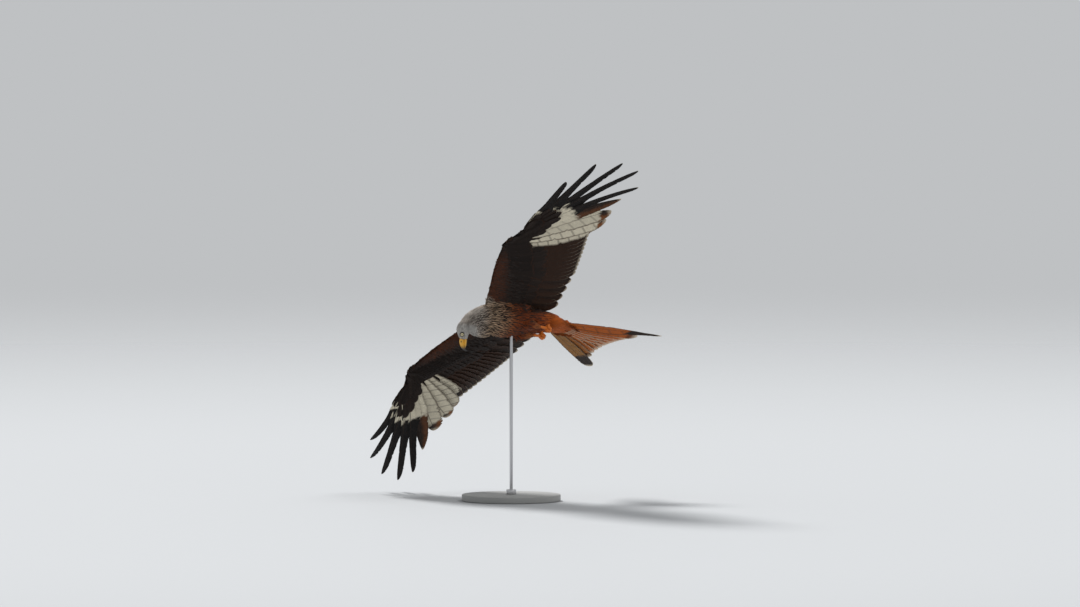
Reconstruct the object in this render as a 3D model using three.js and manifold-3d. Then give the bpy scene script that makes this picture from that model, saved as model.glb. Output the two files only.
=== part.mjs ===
// A red kite on a display stand, life size, gliding in a steep right-hand bank with its head turned down.
// Millimetres. World frame: +Z up, the origin under the middle of the stand's base, on the floor.
// The bird is built in its own frame, +X to its front, +Y to its left, +Z to its back, and then banked as one group.
import * as THREE from "three";
import { mergeVertices } from "three/addons/utils/BufferGeometryUtils.js";
import Module from "manifold-3d";

const wasm = await Module();
wasm.setup();

// Attitude of the bird over the stand, in degrees, and the height of its middle.
const HEADING = 214.3;
const CLIMB = 6.4;
const BANK = 42.8;
const BIRD_AT = [15, 25, 545];

// Gap kept between two nodes that touch, reach of the cutting blocks, and distance at which points are welded.
const GAP = 0.3;
const BLOCK = 1200;
const WELD = 1e-3;

// Trunk and neck: centre of each station, half width, and reach to the back and to the belly.
const SPINE = [
  { at: [-114, 0, 6], wide: 42, back: 24, belly: 28 },
  { at: [-80, 0, 3], wide: 50, back: 32, belly: 30 },
  { at: [-35, 0, 0], wide: 53, back: 37, belly: 40 },
  { at: [15, 0, -2], wide: 54, back: 44, belly: 49 },
  { at: [60, 0, -2], wide: 56, back: 47, belly: 53 },
  { at: [98, -5, 2], wide: 51, back: 45, belly: 47 },
  { at: [130, -20, 2], wide: 44, back: 41, belly: 38 },
  { at: [157, -36, -6], wide: 35, back: 34, belly: 30 },
  { at: [169, -43, -13], wide: 19, back: 19, belly: 18 },
];
const SPINE_RINGS = 24;
const SPINE_SIDES = 18;
const NECK_CUT = 5.25;
const HEAD_CUT = 6.9;

// Head: place of the skull's middle, and its turn, nod and tilt in degrees.
const HEAD_AT = [173.5, -45.8, -16.5];
const HEAD_TURN = -88.6;
const HEAD_NOD = 45.6;
const HEAD_TILT = -54.7;
const BILL_ROOT = 28;
const SKULL = [
  { x: -31, z: -2, wide: 4, crown: 4, chin: 4 },
  { x: -27, z: -1, wide: 12, crown: 12, chin: 12 },
  { x: -19, z: 0, wide: 18.5, crown: 18, chin: 17 },
  { x: -9, z: 1, wide: 21.5, crown: 21.5, chin: 20 },
  { x: 2, z: 1, wide: 22, crown: 21.5, chin: 20 },
  { x: 12, z: 0.5, wide: 19.5, crown: 18.5, chin: 18 },
  { x: 20, z: -0.5, wide: 15, crown: 14, chin: 15 },
  { x: BILL_ROOT, z: -1.5, wide: 10.6, crown: 9.8, chin: 12 },
];
const SKULL_SIDES = 16;
const EYE_AT = [12.5, 14.6, 3];
const EYE_RADIUS = 6.6;
const LID_RADIUS = 8.1;
const LID_OPENING = [5.6, 8, 4.9];
const LID_OPENING_REACH = 6.5;
const BROW_AT = [11, 14.5, 11.2];
const BROW_SIZE = [10.5, 5.2, 2.6];
const BROW_PITCH = 12;
const GAPE_BACK = 13;
const GAPE_Z = -6.4;
const GAPE_HEIGHT = 1.1;
const GAPE_DEPTH = 2.2;
const GAPE_AHEAD = 3;
const GAPE_SINK = 0.6;

// Bill: middle line of each half in the head's frame, with its half width and half height.
const BILL_UPPER = [
  { x: 28, z: 1.2, wide: 9.2, high: 7.3 },
  { x: 34, z: 1.2, wide: 8.9, high: 7.8 },
  { x: 40, z: 0.2, wide: 7.6, high: 7.2 },
  { x: 46.5, z: -1.8, wide: 6.1, high: 6.3 },
  { x: 52.5, z: -5, wide: 4.6, high: 5 },
  { x: 57, z: -9.6, wide: 3.1, high: 3.6 },
  { x: 59.6, z: -14.6, wide: 1.9, high: 2.2 },
  { x: 60.4, z: -19.4, wide: 0.5, high: 0.5 },
];
const BILL_LOWER = [
  { x: 28, z: -8.6, wide: 8.2, high: 4.4 },
  { x: 36, z: -9.2, wide: 7.1, high: 4.1 },
  { x: 44, z: -9.8, wide: 5.4, high: 3.5 },
  { x: 50.5, z: -9.9, wide: 3.4, high: 2.6 },
  { x: 53.5, z: -9.6, wide: 1.3, high: 1.2 },
];
const BILL_SIDES = 12;
const NOSTRIL_AT = [34.5, 8.6, 3.4];
const NOSTRIL_SIZE = [2.5, 1.9, 1.1];
const NOSTRIL_SLANT = 35;

// Wings: the shoulder, and the straight line from it to the wrist at the front edge.
const SHOULDER = [80, 45, 20];
const ARM = 289;
const SIDE = { left: 1, right: -1 };
const WING = {
  left: { side: SIDE.left, dihedral: 2.9, forward: 28.7, handDrop: -6.3, handBack: 14.2 },
  right: { side: SIDE.right, dihedral: 0.5, forward: 33.8, handDrop: -3.9, handBack: 13.8 },
};
// Fleshy part of the arm, by distance along it: front edge behind the arm line, chord and thickness.
const ARM_FLESH = [
  { along: -20, front: -50, chord: 118, thick: 40 },
  { along: 25, front: -48, chord: 122, thick: 37 },
  { along: 70, front: -39, chord: 113, thick: 30 },
  { along: 115, front: -32, chord: 104, thick: 25 },
  { along: 165, front: -24, chord: 92, thick: 21 },
  { along: 215, front: -12, chord: 75, thick: 18.5 },
  { along: 258, front: 2, chord: 54, thick: 17 },
  { along: 286, front: 12, chord: 42, thick: 16 },
];
const HAND_FLESH = [
  { along: -10, front: 13, chord: 42, thick: 16 },
  { along: 10, front: 10, chord: 43, thick: 15 },
  { along: 40, front: 12, chord: 38, thick: 13 },
  { along: 70, front: 14, chord: 32, thick: 11 },
  { along: 95, front: 13, chord: 26, thick: 8 },
  { along: 108, front: 13.5, chord: 17, thick: 5 },
];
const ROOT_CUT = 57;
// Part of the chord and of the thickness at each point of a wing section, front to rear.
const SECTION = [
  [0.07, 0.6],
  [0.25, 1],
  [0.5, 0.92],
  [0.76, 0.62],
  [1, 0.22],
];
const UNDERSIDE = 0.8;

// Primaries, outermost first: length, root in the hand's plane, fan angle and rise of the tip on each side.
const PRIMARIES = [
  { length: 252, root: [95, 24], left: [-17.7, -4], right: [-8.5, 31] },
  { length: 349, root: [92, 28], left: [-8.2, 4], right: [-2, 42] },
  { length: 407, root: [86, 31], left: [0.4, -13], right: [4, 19] },
  { length: 430, root: [78, 34], left: [6.8, -34], right: [9.9, -3] },
  { length: 399, root: [68, 36], left: [14.3, -48], right: [15, -20] },
  { length: 333, root: [56, 38], left: [20, -32], right: [20.6, -7] },
  { length: 291, root: [44, 39], left: [34, -10], right: [29.3, 5] },
  { length: 285, root: [32, 40], left: [48, 10], right: [38.5, 15] },
  { length: 275, root: [20, 40], left: [57.5, 27], right: [44.5, 20] },
  { length: 258, root: [8, 40], left: [64.4, 36], right: [49, 27] },
];
// Secondaries run along the forearm from the wrist to the elbow, and tertials from there to the body.
// Depth is the flesh ahead of a feather's root.
const SECONDARIES = 12;
const SECONDARY_FIRST = { root: [280, 42], turn: 12, length: 265, rise: 18, depth: 25 };
const SECONDARY_LAST = { root: [130, 64], turn: 29, length: 216, rise: 20, depth: 88 };
const TERTIALS = 4;
const TERTIAL_LAST = { root: [4, 42], turn: 32, length: 178, rise: 9, depth: 80 };
const HAND_DEPTH = 21;
const TAIL_DEPTH = 40;
const FINGERS = 5;
const FINGER_BEND = 2.4;
const ARM_BEND = 2;

// Vanes: widths outside and inside the shaft, thickness at shaft and edge, and the roll that laps one over the next.
const FINGER_WIDTH = [13, 34];
const PRIMARY_WIDTH = [19, 40];
const SECONDARY_WIDTH = [24, 30];
const RECTRIX_WIDTH = [17, 27];
const SHAFT_THICK = 1.7;
const VANE_THICK = 0.62;
const TIP_THICK = 0.5;
const ROLL = 0.09;
// Outlines: part of the length, then part of the outer and of the inner width there.
const BLUNT = [
  [0, 0.2, 0.14],
  [0.16, 0.85, 0.66],
  [0.55, 1, 1],
  [0.93, 0.84, 0.76],
  [1, 0.34, 0.28],
];
const FINGER = [
  [0, 0.2, 0.12],
  [0.14, 0.9, 0.55],
  [0.4, 0.9, 0.95],
  [0.53, 0.5, 0.56],
  [0.78, 0.42, 0.48],
  [0.93, 0.3, 0.32],
  [1, 0.05, 0.05],
];
const COVERT = [
  [0, 0.35, 0.35],
  [0.45, 1, 1],
  [0.86, 0.9, 0.9],
  [1, 0.35, 0.35],
];
const SMALL_COVERT = [
  [0, 0.4, 0.4],
  [0.72, 1, 1],
  [1, 0.4, 0.4],
];
// Tiers of coverts on both faces: rooted ahead of the quill by a length and a part of the flesh's depth,
// reaching back over a part of the large feather, and standing clear of it from LIFT_BY of their length.
const ARM_TIERS = [
  { every: 2, sunk: 6, ahead: 0.2, reach: 0.44, rootOff: 3.4, off: 5.6, width: [27, 30], outline: COVERT },
  { every: 3, sunk: 8, ahead: 0.38, reach: 0.2, rootOff: 5, off: 9, width: [24, 26], outline: SMALL_COVERT },
];
const HAND_TIERS = [
  { every: 2, sunk: 6, ahead: 0.35, reach: 0.31, rootOff: 2, off: 4.6, width: [15, 19], outline: COVERT },
];
const TAIL_TIERS = [
  { every: 3, sunk: 6, ahead: 0.3, reach: 0.4, rootOff: 3, off: 5, width: [19, 20], outline: COVERT },
];
const LIFT_BY = 0.4;

// Tail: root, set of the fan in degrees, and its six pairs of feathers, innermost first.
const TAIL_AT = [-114, 0, 6];
const TAIL_DROP = -5.1;
const TAIL_SWING = 10.9;
const TAIL_TWIST = 21.7;
const TAIL_SPREAD = 25.7;
const TAIL_ROOT = 30;
const TAIL_FIRST_OFFSET = 2;
const TAIL_OFFSET_STEP = 3.6;
const RECTRICES = [250, 253, 259, 270, 292, 360];
const TAIL_START = { ahead: 4, wide: 41, high: 24, low: 27 };
const TAIL_FLESH = [
  { at: 0, wide: 45, high: 27 },
  { at: 18, wide: 46, high: 23 },
  { at: 45, wide: 43, high: 15 },
  { at: 75, wide: 36, high: 8 },
  { at: 98, wide: 24, high: 4 },
];

// Legs lie back under the belly, with the feathered shank and the clenched foot behind it.
// Stations are parts of the way from the hip to the fist.
const HIP_AT = [2, 27, -34];
const SHANK = [
  { part: 0, radius: 11 },
  { part: 0.12, radius: 16 },
  { part: 0.3, radius: 15.5 },
  { part: 0.49, radius: 10.5 },
  { part: 0.66, radius: 6.8 },
];
const SHANK_SIDES = 14;
const ANKLE_X = -58;
const TARSUS = [
  { part: 0.55, radius: 4.4 },
  { part: 0.7, radius: 4 },
  { part: 0.87, radius: 4.6 },
  { part: 0.96, radius: 5.4 },
];
const TARSUS_SIDES = 10;
const TOES = [
  { side: -6.5, curl: 8.2, from: 75, sweep: -235, thick: 3.6 },
  { side: 0.5, curl: 9.6, from: 80, sweep: -240, thick: 3.9 },
  { side: 7, curl: 7.6, from: 75, sweep: -225, thick: 3.4 },
  { side: -1, curl: 6.8, from: 60, sweep: 170, thick: 3.7 },
];
const TOE_RINGS = 6;
const TOE_SIDES = 5;
const CLAW_FROM = 4;
const TOE_TAPER = 0.82;
const CLAW_TAPER = 0.12;
const FIST_AT = {
  left: [-92, 25, -41],
  right: [-92, -14, -37],
};

// Stand: a round base and one upright rod with a collar.
const BASE_RADIUS = 150;
const BASE_HEIGHT = 20;
const BASE_EDGE = 3;
const BASE_SIDES = 40;
const ROD_RADIUS = 5;
const ROD_TOP = 560;
const ROD_SIDES = 20;
const COLLAR_RADIUS = 15;
const COLLAR_HEIGHT = 14;
const COLLAR_EDGE = 7;
const COLLAR_TOP_RADIUS = 9;

const rad = THREE.MathUtils.degToRad;
const vec = (xyz) => new THREE.Vector3(...xyz);
const mirrored = (xyz, side) => [xyz[0], xyz[1] * side, xyz[2]];

function signedVolume(points, faces) {
  const [a, b, c] = [new THREE.Vector3(), new THREE.Vector3(), new THREE.Vector3()];
  let sum = 0;
  for (let i = 0; i < faces.length; i += 3) {
    a.fromArray(points, faces[i] * 3);
    b.fromArray(points, faces[i + 1] * 3);
    c.fromArray(points, faces[i + 2] * 3);
    sum += a.dot(b.cross(c));
  }
  return sum / 6;
}

// Closed solid of a geometry, with its faces turned outwards.
function solid(geometry) {
  const bare = geometry.clone();
  bare.deleteAttribute("normal");
  bare.deleteAttribute("uv");
  const merged = mergeVertices(bare, WELD);
  const points = new Float32Array(merged.attributes.position.array);
  const faces = new Uint32Array(merged.index.array);
  if (signedVolume(points, faces) < 0) faces.reverse();
  return new wasm.Manifold(new wasm.Mesh({ numProp: 3, vertProperties: points, triVerts: faces }));
}

function indexed(points, faces) {
  const geometry = new THREE.BufferGeometry();
  geometry.setAttribute("position", new THREE.Float32BufferAttribute(points.flatMap((p) => p.toArray()), 3));
  geometry.setIndex(faces);
  return geometry;
}

// Closed ribbon over rings of an upper row and the lower row in reverse, split alike on both faces.
function ribbon(rings) {
  const sides = rings[0].length;
  const row = sides / 2;
  const faces = [];
  for (let i = 0; i + 1 < rings.length; i++)
    for (let j = 0; j < sides; j++) {
      const [a, b] = [i * sides + j, i * sides + ((j + 1) % sides)];
      if (j < row) faces.push(a, b, b + sides, a, b + sides, a + sides);
      else faces.push(a, b, a + sides, b, b + sides, a + sides);
    }
  const last = (rings.length - 1) * sides;
  for (let j = 0; j + 1 < row; j++) {
    const [a, b, c, d] = [j, j + 1, sides - 2 - j, sides - 1 - j];
    faces.push(a, c, b, a, d, c);
    faces.push(last + a, last + b, last + c, last + a, last + c, last + d);
  }
  return solid(indexed(rings.flat(), faces));
}

// Skin over rings of like point counts, fanned shut at both ends.
function loft(rings) {
  const sides = rings[0].length;
  const points = rings.flat();
  const faces = [];
  for (let i = 0; i + 1 < rings.length; i++)
    for (let j = 0; j < sides; j++) {
      const [a, b] = [i * sides + j, i * sides + ((j + 1) % sides)];
      faces.push(a, b, b + sides, a, b + sides, a + sides);
    }
  for (const [ring, start, turn] of [[rings[0], 0, -1], [rings.at(-1), (rings.length - 1) * sides, 1]]) {
    const middle = points.push(ring.reduce((sum, p) => sum.add(p), vec([0, 0, 0])).divideScalar(sides)) - 1;
    for (let j = 0; j < sides; j++) {
      const [a, b] = [start + j, start + ((j + 1) % sides)];
      faces.push(middle, ...(turn > 0 ? [a, b] : [b, a]));
    }
  }
  return solid(indexed(points, faces));
}

// Round tube along a list of stations, each with its place and radius.
function tube(stations, sides, grow = 0) {
  const path = new THREE.CatmullRomCurve3(stations.map((s) => vec(s.at)));
  const rings = stations.map((s, i) => {
    const along = path.getTangent(i / (stations.length - 1));
    const across = new THREE.Vector3(0, 0, 1).cross(along).normalize();
    const over = along.clone().cross(across);
    return circle(vec(s.at), across, over, s.radius + grow, s.radius + grow, s.radius + grow, sides);
  });
  return loft(rings);
}

// Ring of points about a centre, its upper and lower halves of their own reach.
function circle(centre, across, over, wide, high, low, sides) {
  return Array.from({ length: sides }, (_, j) => {
    const turn = (j / sides) * 2 * Math.PI;
    const rise = Math.sin(turn) * (Math.sin(turn) > 0 ? high : low);
    return centre.clone().addScaledVector(across, Math.cos(turn) * wide).addScaledVector(over, rise);
  });
}

function ellipsoid(at, size, pitch = 0, detail = 1) {
  const form = new THREE.IcosahedronGeometry(1, detail);
  return solid(form.scale(...size).rotateY(rad(pitch)).translate(...at));
}

function ball(at, radius) {
  return ellipsoid(at, [radius, radius, radius], 0, 2);
}

// Block that fills the side of a plane that its normal points to.
function halfSpace(point, normal) {
  const block = new THREE.BoxGeometry(BLOCK, BLOCK, BLOCK).translate(BLOCK / 2, 0, 0);
  block.applyQuaternion(new THREE.Quaternion().setFromUnitVectors(vec([1, 0, 0]), normal.clone().normalize()));
  return solid(block.translate(...point.toArray()));
}

function keepAhead(form, point, normal) {
  return form.intersect(halfSpace(point.clone().addScaledVector(normal, GAP / 2), normal));
}

function keepBehind(form, point, normal) {
  return form.intersect(halfSpace(point.clone().addScaledVector(normal, -GAP / 2), normal.clone().negate()));
}

function join(forms) {
  return forms.reduce((whole, form) => whole.add(form));
}

function largest(form) {
  return form.decompose().reduce((best, piece) => (piece.volume() > best.volume() ? piece : best));
}

// Spine of the trunk and neck: a smooth path through the stations, and their sizes along it.
const spinePath = new THREE.CatmullRomCurve3(SPINE.map((s) => vec(s.at)));
const spineSizes = new THREE.CatmullRomCurve3(SPINE.map((s) => vec([s.wide, s.back, s.belly])));

function spineFrame(station) {
  const at = station / (SPINE.length - 1);
  const along = spinePath.getTangent(at);
  const across = new THREE.Vector3(0, 0, 1).cross(along).normalize();
  const over = along.clone().cross(across);
  return { centre: spinePath.getPoint(at), along, across, over, size: spineSizes.getPoint(at) };
}

function trunk(grow) {
  const rings = Array.from({ length: SPINE_RINGS }, (_, i) => {
    const { centre, across, over, size } = spineFrame((i / (SPINE_RINGS - 1)) * (SPINE.length - 1));
    return circle(centre, across, over, size.x + grow, size.y + grow, size.z + grow, SPINE_SIDES);
  });
  return loft(rings);
}

// Places of the head's own frame in the bird's frame.
const headFrame = new THREE.Matrix4()
  .makeRotationFromEuler(new THREE.Euler(rad(HEAD_TILT), rad(HEAD_NOD), rad(HEAD_TURN), "ZYX"))
  .setPosition(vec(HEAD_AT));

function ontoHead(form) {
  return form.transform(headFrame.toArray());
}

function skull() {
  const rings = SKULL.map((s) =>
    circle(vec([s.x, 0, s.z]), vec([0, 1, 0]), vec([0, 0, 1]), s.wide, s.crown, s.chin, SKULL_SIDES),
  );
  let form = loft(rings);
  for (const side of [1, -1]) {
    form = form.add(ball(mirrored(EYE_AT, side), LID_RADIUS));
    form = form.add(ellipsoid(mirrored(BROW_AT, side), BROW_SIZE, BROW_PITCH));
  }
  return ontoHead(form);
}

// Hollows of the head: the sockets, the openings between the lids, and the line of the mouth.
function headHollows() {
  const forms = [1, -1].flatMap((side) => {
    const opening = [EYE_AT[0], (EYE_AT[1] + LID_OPENING_REACH) * side, EYE_AT[2]];
    return [ball(mirrored(EYE_AT, side), EYE_RADIUS + GAP), ellipsoid(opening, LID_OPENING), gape(side)];
  });
  return ontoHead(join(forms));
}

// Line of the mouth behind the bill: a shallow groove to under the eye.
function gape(side) {
  const length = BILL_ROOT + GAPE_AHEAD - GAPE_BACK;
  const groove = new THREE.BoxGeometry(length, GAPE_DEPTH * 2, GAPE_HEIGHT);
  groove.rotateZ(-side * Math.atan2(SKULL[5].wide - SKULL.at(-1).wide, BILL_ROOT - SKULL[5].x));
  return solid(groove.translate(GAPE_BACK + length / 2, side * (SKULL[6].wide - GAPE_SINK), GAPE_Z));
}

function eye(side) {
  return ontoHead(ball(mirrored(EYE_AT, side), EYE_RADIUS));
}

function billHalf(stations, grow) {
  const path = new THREE.CatmullRomCurve3(stations.map((s) => vec([s.x, 0, s.z])));
  const rings = stations.map((s, i) => {
    const along = i ? path.getTangent(i / (stations.length - 1)) : vec([1, 0, 0]);
    const over = along.clone().cross(vec([0, 1, 0]));
    return circle(vec([s.x, 0, s.z]), vec([0, 1, 0]), over, s.wide + grow, s.high + grow, s.high + grow, BILL_SIDES);
  });
  return loft(rings);
}

function upperBill() {
  let form = keepAhead(billHalf(BILL_UPPER, 0), vec([BILL_ROOT + GAP / 2, 0, 0]), vec([1, 0, 0]));
  for (const side of [1, -1])
    form = form.subtract(ellipsoid(mirrored(NOSTRIL_AT, side), NOSTRIL_SIZE, NOSTRIL_SLANT));
  return ontoHead(form);
}

function lowerBill() {
  const form = billHalf(BILL_LOWER, 0).subtract(billHalf(BILL_UPPER, GAP));
  return ontoHead(keepAhead(form, vec([BILL_ROOT + GAP / 2, 0, 0]), vec([1, 0, 0])));
}

// Planes of one wing: the arm's from the shoulder, and the hand's from the wrist.
function wingPlanes({ side, dihedral, forward, handDrop, handBack }) {
  const plane = (origin, tilt, sweep) => {
    const out = vec([
      Math.cos(rad(tilt)) * Math.sin(rad(sweep)),
      side * Math.cos(rad(tilt)) * Math.cos(rad(sweep)),
      Math.sin(rad(tilt)),
    ]);
    const rear = vec([-1, 0, 0]).addScaledVector(out, out.x).normalize();
    const over = side > 0 ? out.clone().cross(rear) : rear.clone().cross(out);
    const at = (along, back, up = 0) =>
      origin.clone().addScaledVector(out, along).addScaledVector(rear, back).addScaledVector(over, up);
    return { out, rear, over, at };
  };
  const arm = plane(vec(mirrored(SHOULDER, side)), dihedral, forward);
  const hand = plane(arm.at(ARM, 0), handDrop, -handBack);
  return { arm, hand };
}

// Rounded front and thin rear edge of the fleshy part of a wing.
function wingFlesh(plane, stations, grow = 0) {
  const rings = stations.map(({ along, front, chord, thick }) => {
    const depth = chord + 2 * grow;
    const point = (part, rise) => plane.at(along, front - grow + part * depth, rise * (thick / 2 + grow));
    const upper = SECTION.map(([part, rise]) => point(part, rise));
    const lower = SECTION.map(([part, rise]) => point(part, -rise * UNDERSIDE)).reverse();
    return [point(0, 0), ...upper, ...lower];
  });
  return loft(rings);
}

// One feather's own lines: its shaft as a curve that rises towards the tip, its inner side and its back.
function feather(plane, root, angle, length, rise, bend) {
  const along = plane.out.clone().multiplyScalar(Math.cos(angle)).addScaledVector(plane.rear, Math.sin(angle));
  const inner = plane.rear.clone().multiplyScalar(Math.cos(angle)).addScaledVector(plane.out, -Math.sin(angle));
  return shafted(plane.at(...root), along, inner, plane.over, length, rise, bend);
}

function shafted(root, along, inner, over, length, rise = 0, bend = ARM_BEND) {
  const at = (part) =>
    root.clone().addScaledVector(along, length * part).addScaledVector(over, rise * Math.max(part, 0) ** bend);
  return { at, root, inner, over, length };
}

// Covert that lies along a larger feather, above it or below it.
function covert(large, face, { sunk, ahead, reach, rootOff, off }) {
  const before = sunk + ahead * large.depth;
  const length = before + reach * large.length;
  const at = (part) => {
    const stand = lerp(rootOff, off, Math.min(part / LIFT_BY, 1));
    return large.at((length * part - before) / large.length).addScaledVector(large.over, face * stand);
  };
  return { at, root: at(0), inner: large.inner, over: large.over, length };
}

function lerp(a, b, part) {
  return a + (b - a) * part;
}

// Thin solid of one feather; a shafted one has a ridge along its middle on both faces.
function vane(f, outline, [outer, inner], ridge) {
  const rings = outline.map(([part, out, inn]) => {
    const middle = f.at(part);
    const edge = (reach) => middle.clone().addScaledVector(f.inner, reach).addScaledVector(f.over, -reach * ROLL);
    const across = [edge(-outer * out), ...(ridge ? [middle] : []), edge(inner * inn)];
    const half = lerp(VANE_THICK, TIP_THICK, part) / 2;
    const stand = (point) => (point === middle ? lerp(SHAFT_THICK, TIP_THICK, part) / 2 : half);
    const row = (face) => across.map((point) => point.clone().addScaledVector(f.over, face * stand(point)));
    return [...row(1), ...row(-1).reverse()];
  });
  return ribbon(rings);
}

function coverts(row, tiers) {
  return tiers.flatMap((tier) =>
    row
      .filter((_, i) => i % tier.every === 0)
      .flatMap((large) => [1, -1].map((face) => vane(covert(large, face, tier), tier.outline, tier.width, false))),
  );
}

function primaries(name, planes) {
  return PRIMARIES.map((p) => {
    const [fan, rise] = p[name];
    const flat = Math.sqrt(p.length ** 2 - rise ** 2);
    return { ...feather(planes.hand, p.root, rad(fan), flat, rise, FINGER_BEND), depth: HAND_DEPTH };
  });
}

function secondaries(planes) {
  const between = (a, b, part) => {
    const root = [lerp(a.root[0], b.root[0], part), lerp(a.root[1], b.root[1], part)];
    const [turn, length, rise, depth] = ["turn", "length", "rise", "depth"].map((key) => lerp(a[key], b[key], part));
    return { ...feather(planes.arm, root, rad(90 + turn), length, rise, ARM_BEND), depth };
  };
  const outer = Array.from({ length: SECONDARIES }, (_, i) =>
    between(SECONDARY_FIRST, SECONDARY_LAST, i / (SECONDARIES - 1)),
  );
  const rear = Array.from({ length: TERTIALS }, (_, i) => between(SECONDARY_LAST, TERTIAL_LAST, (i + 1) / TERTIALS));
  return [...outer, ...rear];
}

function wing(name, body, stub) {
  const planes = wingPlanes(WING[name]);
  const { side } = WING[name];
  const outward = vec([0, side, 0]);
  const [hand, arm] = [primaries(name, planes), secondaries(planes)];
  const [lastHand, firstArm] = [hand.at(-1), arm[0]];
  const wristCut = lastHand.root.clone().lerp(firstArm.root, 0.5);
  const cutNormal = lastHand.inner.clone().add(firstArm.inner).normalize();
  const armFlesh = keepAhead(wingFlesh(planes.arm, ARM_FLESH), vec([0, side * ROOT_CUT, 0]), outward);
  const quills = hand.map((f, i) =>
    i < FINGERS ? vane(f, FINGER, FINGER_WIDTH, true) : vane(f, BLUNT, PRIMARY_WIDTH, true),
  );
  const handForm = join([wingFlesh(planes.hand, HAND_FLESH), ...quills, ...coverts(hand, HAND_TIERS)]);
  const armVanes = arm.map((f) => vane(f, BLUNT, SECONDARY_WIDTH, false));
  const armForm = join([armFlesh, ...armVanes, ...coverts(arm, ARM_TIERS)]);
  const cleared = armForm.subtract(body).subtract(stub);
  return {
    arm: largest(keepAhead(cleared, wristCut, cutNormal)),
    hand: largest(keepBehind(handForm, wristCut, cutNormal)),
  };
}

function wingStub(name, grow) {
  const { side } = WING[name];
  const flesh = wingFlesh(wingPlanes(WING[name]).arm, ARM_FLESH, grow);
  return keepBehind(flesh, vec([0, side * (ROOT_CUT + grow), 0]), vec([0, side, 0]));
}

// Tail fan: its own plane, opened and twisted against the trunk.
function tailPlane() {
  const rear = vec([-1, 0, 0]);
  const left = vec([0, 1, 0]);
  const over = vec([0, 0, 1]);
  for (const [axis, angle] of [["left", TAIL_DROP], ["over", TAIL_SWING], ["rear", TAIL_TWIST]]) {
    const about = { left, over, rear }[axis].clone();
    for (const line of [rear, left, over]) line.applyAxisAngle(about, rad(angle));
  }
  return { rear, left, over };
}

function rectrices() {
  const { rear, left, over } = tailPlane();
  const pair = (side) =>
    RECTRICES.map((length, i) => {
      const angle = rad(((i + 0.5) / (RECTRICES.length - 0.5)) * TAIL_SPREAD);
      const along = rear.clone().multiplyScalar(Math.cos(angle)).addScaledVector(left, side * Math.sin(angle));
      const inner = rear.clone().multiplyScalar(Math.sin(angle)).addScaledVector(left, -side * Math.cos(angle));
      const root = vec(TAIL_AT)
        .addScaledVector(rear, TAIL_ROOT)
        .addScaledVector(left, side * (TAIL_FIRST_OFFSET + i * TAIL_OFFSET_STEP));
      return { ...shafted(root, along, inner, over, length - TAIL_ROOT), depth: TAIL_DEPTH };
    });
  return [...pair(1).reverse(), ...pair(-1)];
}

function tail() {
  const { rear, left, over } = tailPlane();
  const rings = TAIL_FLESH.map((s) =>
    circle(vec(TAIL_AT).addScaledVector(rear, s.at), left, over, s.wide, s.high, s.high, SPINE_SIDES),
  );
  const { ahead, wide, high, low } = TAIL_START;
  const middle = vec([TAIL_AT[0] + ahead, 0, TAIL_AT[2]]);
  const start = circle(middle, vec([0, 1, 0]), vec([0, 0, 1]), wide, high, low, SPINE_SIDES);
  const flesh = loft([start, ...rings]);
  const row = rectrices();
  const vanes = row.map((f) => vane(f, BLUNT, RECTRIX_WIDTH, false));
  return largest(keepAhead(join([flesh, ...vanes, ...coverts(row, TAIL_TIERS)]), vec(TAIL_AT), vec([-1, 0, 0])));
}

function shank(name, body) {
  return largest(keepAhead(legTube(SHANK, name, SHANK_SIDES).subtract(body), vec([ANKLE_X, 0, 0]), vec([1, 0, 0])));
}

// Tube from the hip's station on one side back towards that side's fist.
function legTube(stations, name, sides) {
  const fist = vec(FIST_AT[name]);
  const hip = vec(mirrored(HIP_AT, SIDE[name]));
  const placed = stations.map(({ part, radius }) => ({ at: hip.clone().lerp(fist, part).toArray(), radius }));
  return tube(placed, sides);
}

function toe({ side: offset, curl, from, sweep, thick }, name) {
  const rings = Array.from({ length: TOE_RINGS }, (_, i) => {
    const part = i / (TOE_RINGS - 1);
    const turn = rad(from + sweep * part);
    const spoke = vec([Math.cos(turn), 0, Math.sin(turn)]);
    const claw = Math.max(0, i - CLAW_FROM + 1) / (TOE_RINGS - CLAW_FROM);
    const radius = thick * lerp(1, TOE_TAPER, part) * lerp(1, CLAW_TAPER, claw);
    const [x, y, z] = FIST_AT[name];
    const centre = vec([x, y + offset * SIDE[name], z]).addScaledVector(spoke, curl);
    return circle(centre, spoke, vec([0, 1, 0]), radius, radius, radius, TOE_SIDES);
  });
  return loft(rings);
}

function foot(name, body) {
  const toes = TOES.map((spec) => toe(spec, name));
  const form = join([legTube(TARSUS, name, TARSUS_SIDES), ...toes]).subtract(body);
  return largest(keepBehind(form, vec([ANKLE_X, 0, 0]), vec([1, 0, 0])));
}

function standBase() {
  const outline = [
    [0, 0],
    [BASE_RADIUS, 0],
    [BASE_RADIUS, BASE_HEIGHT - BASE_EDGE],
    [BASE_RADIUS - BASE_EDGE, BASE_HEIGHT],
    [0, BASE_HEIGHT],
  ].map(([r, z]) => new THREE.Vector2(r, z));
  return solid(new THREE.LatheGeometry(outline, BASE_SIDES).rotateX(Math.PI / 2));
}

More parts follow.
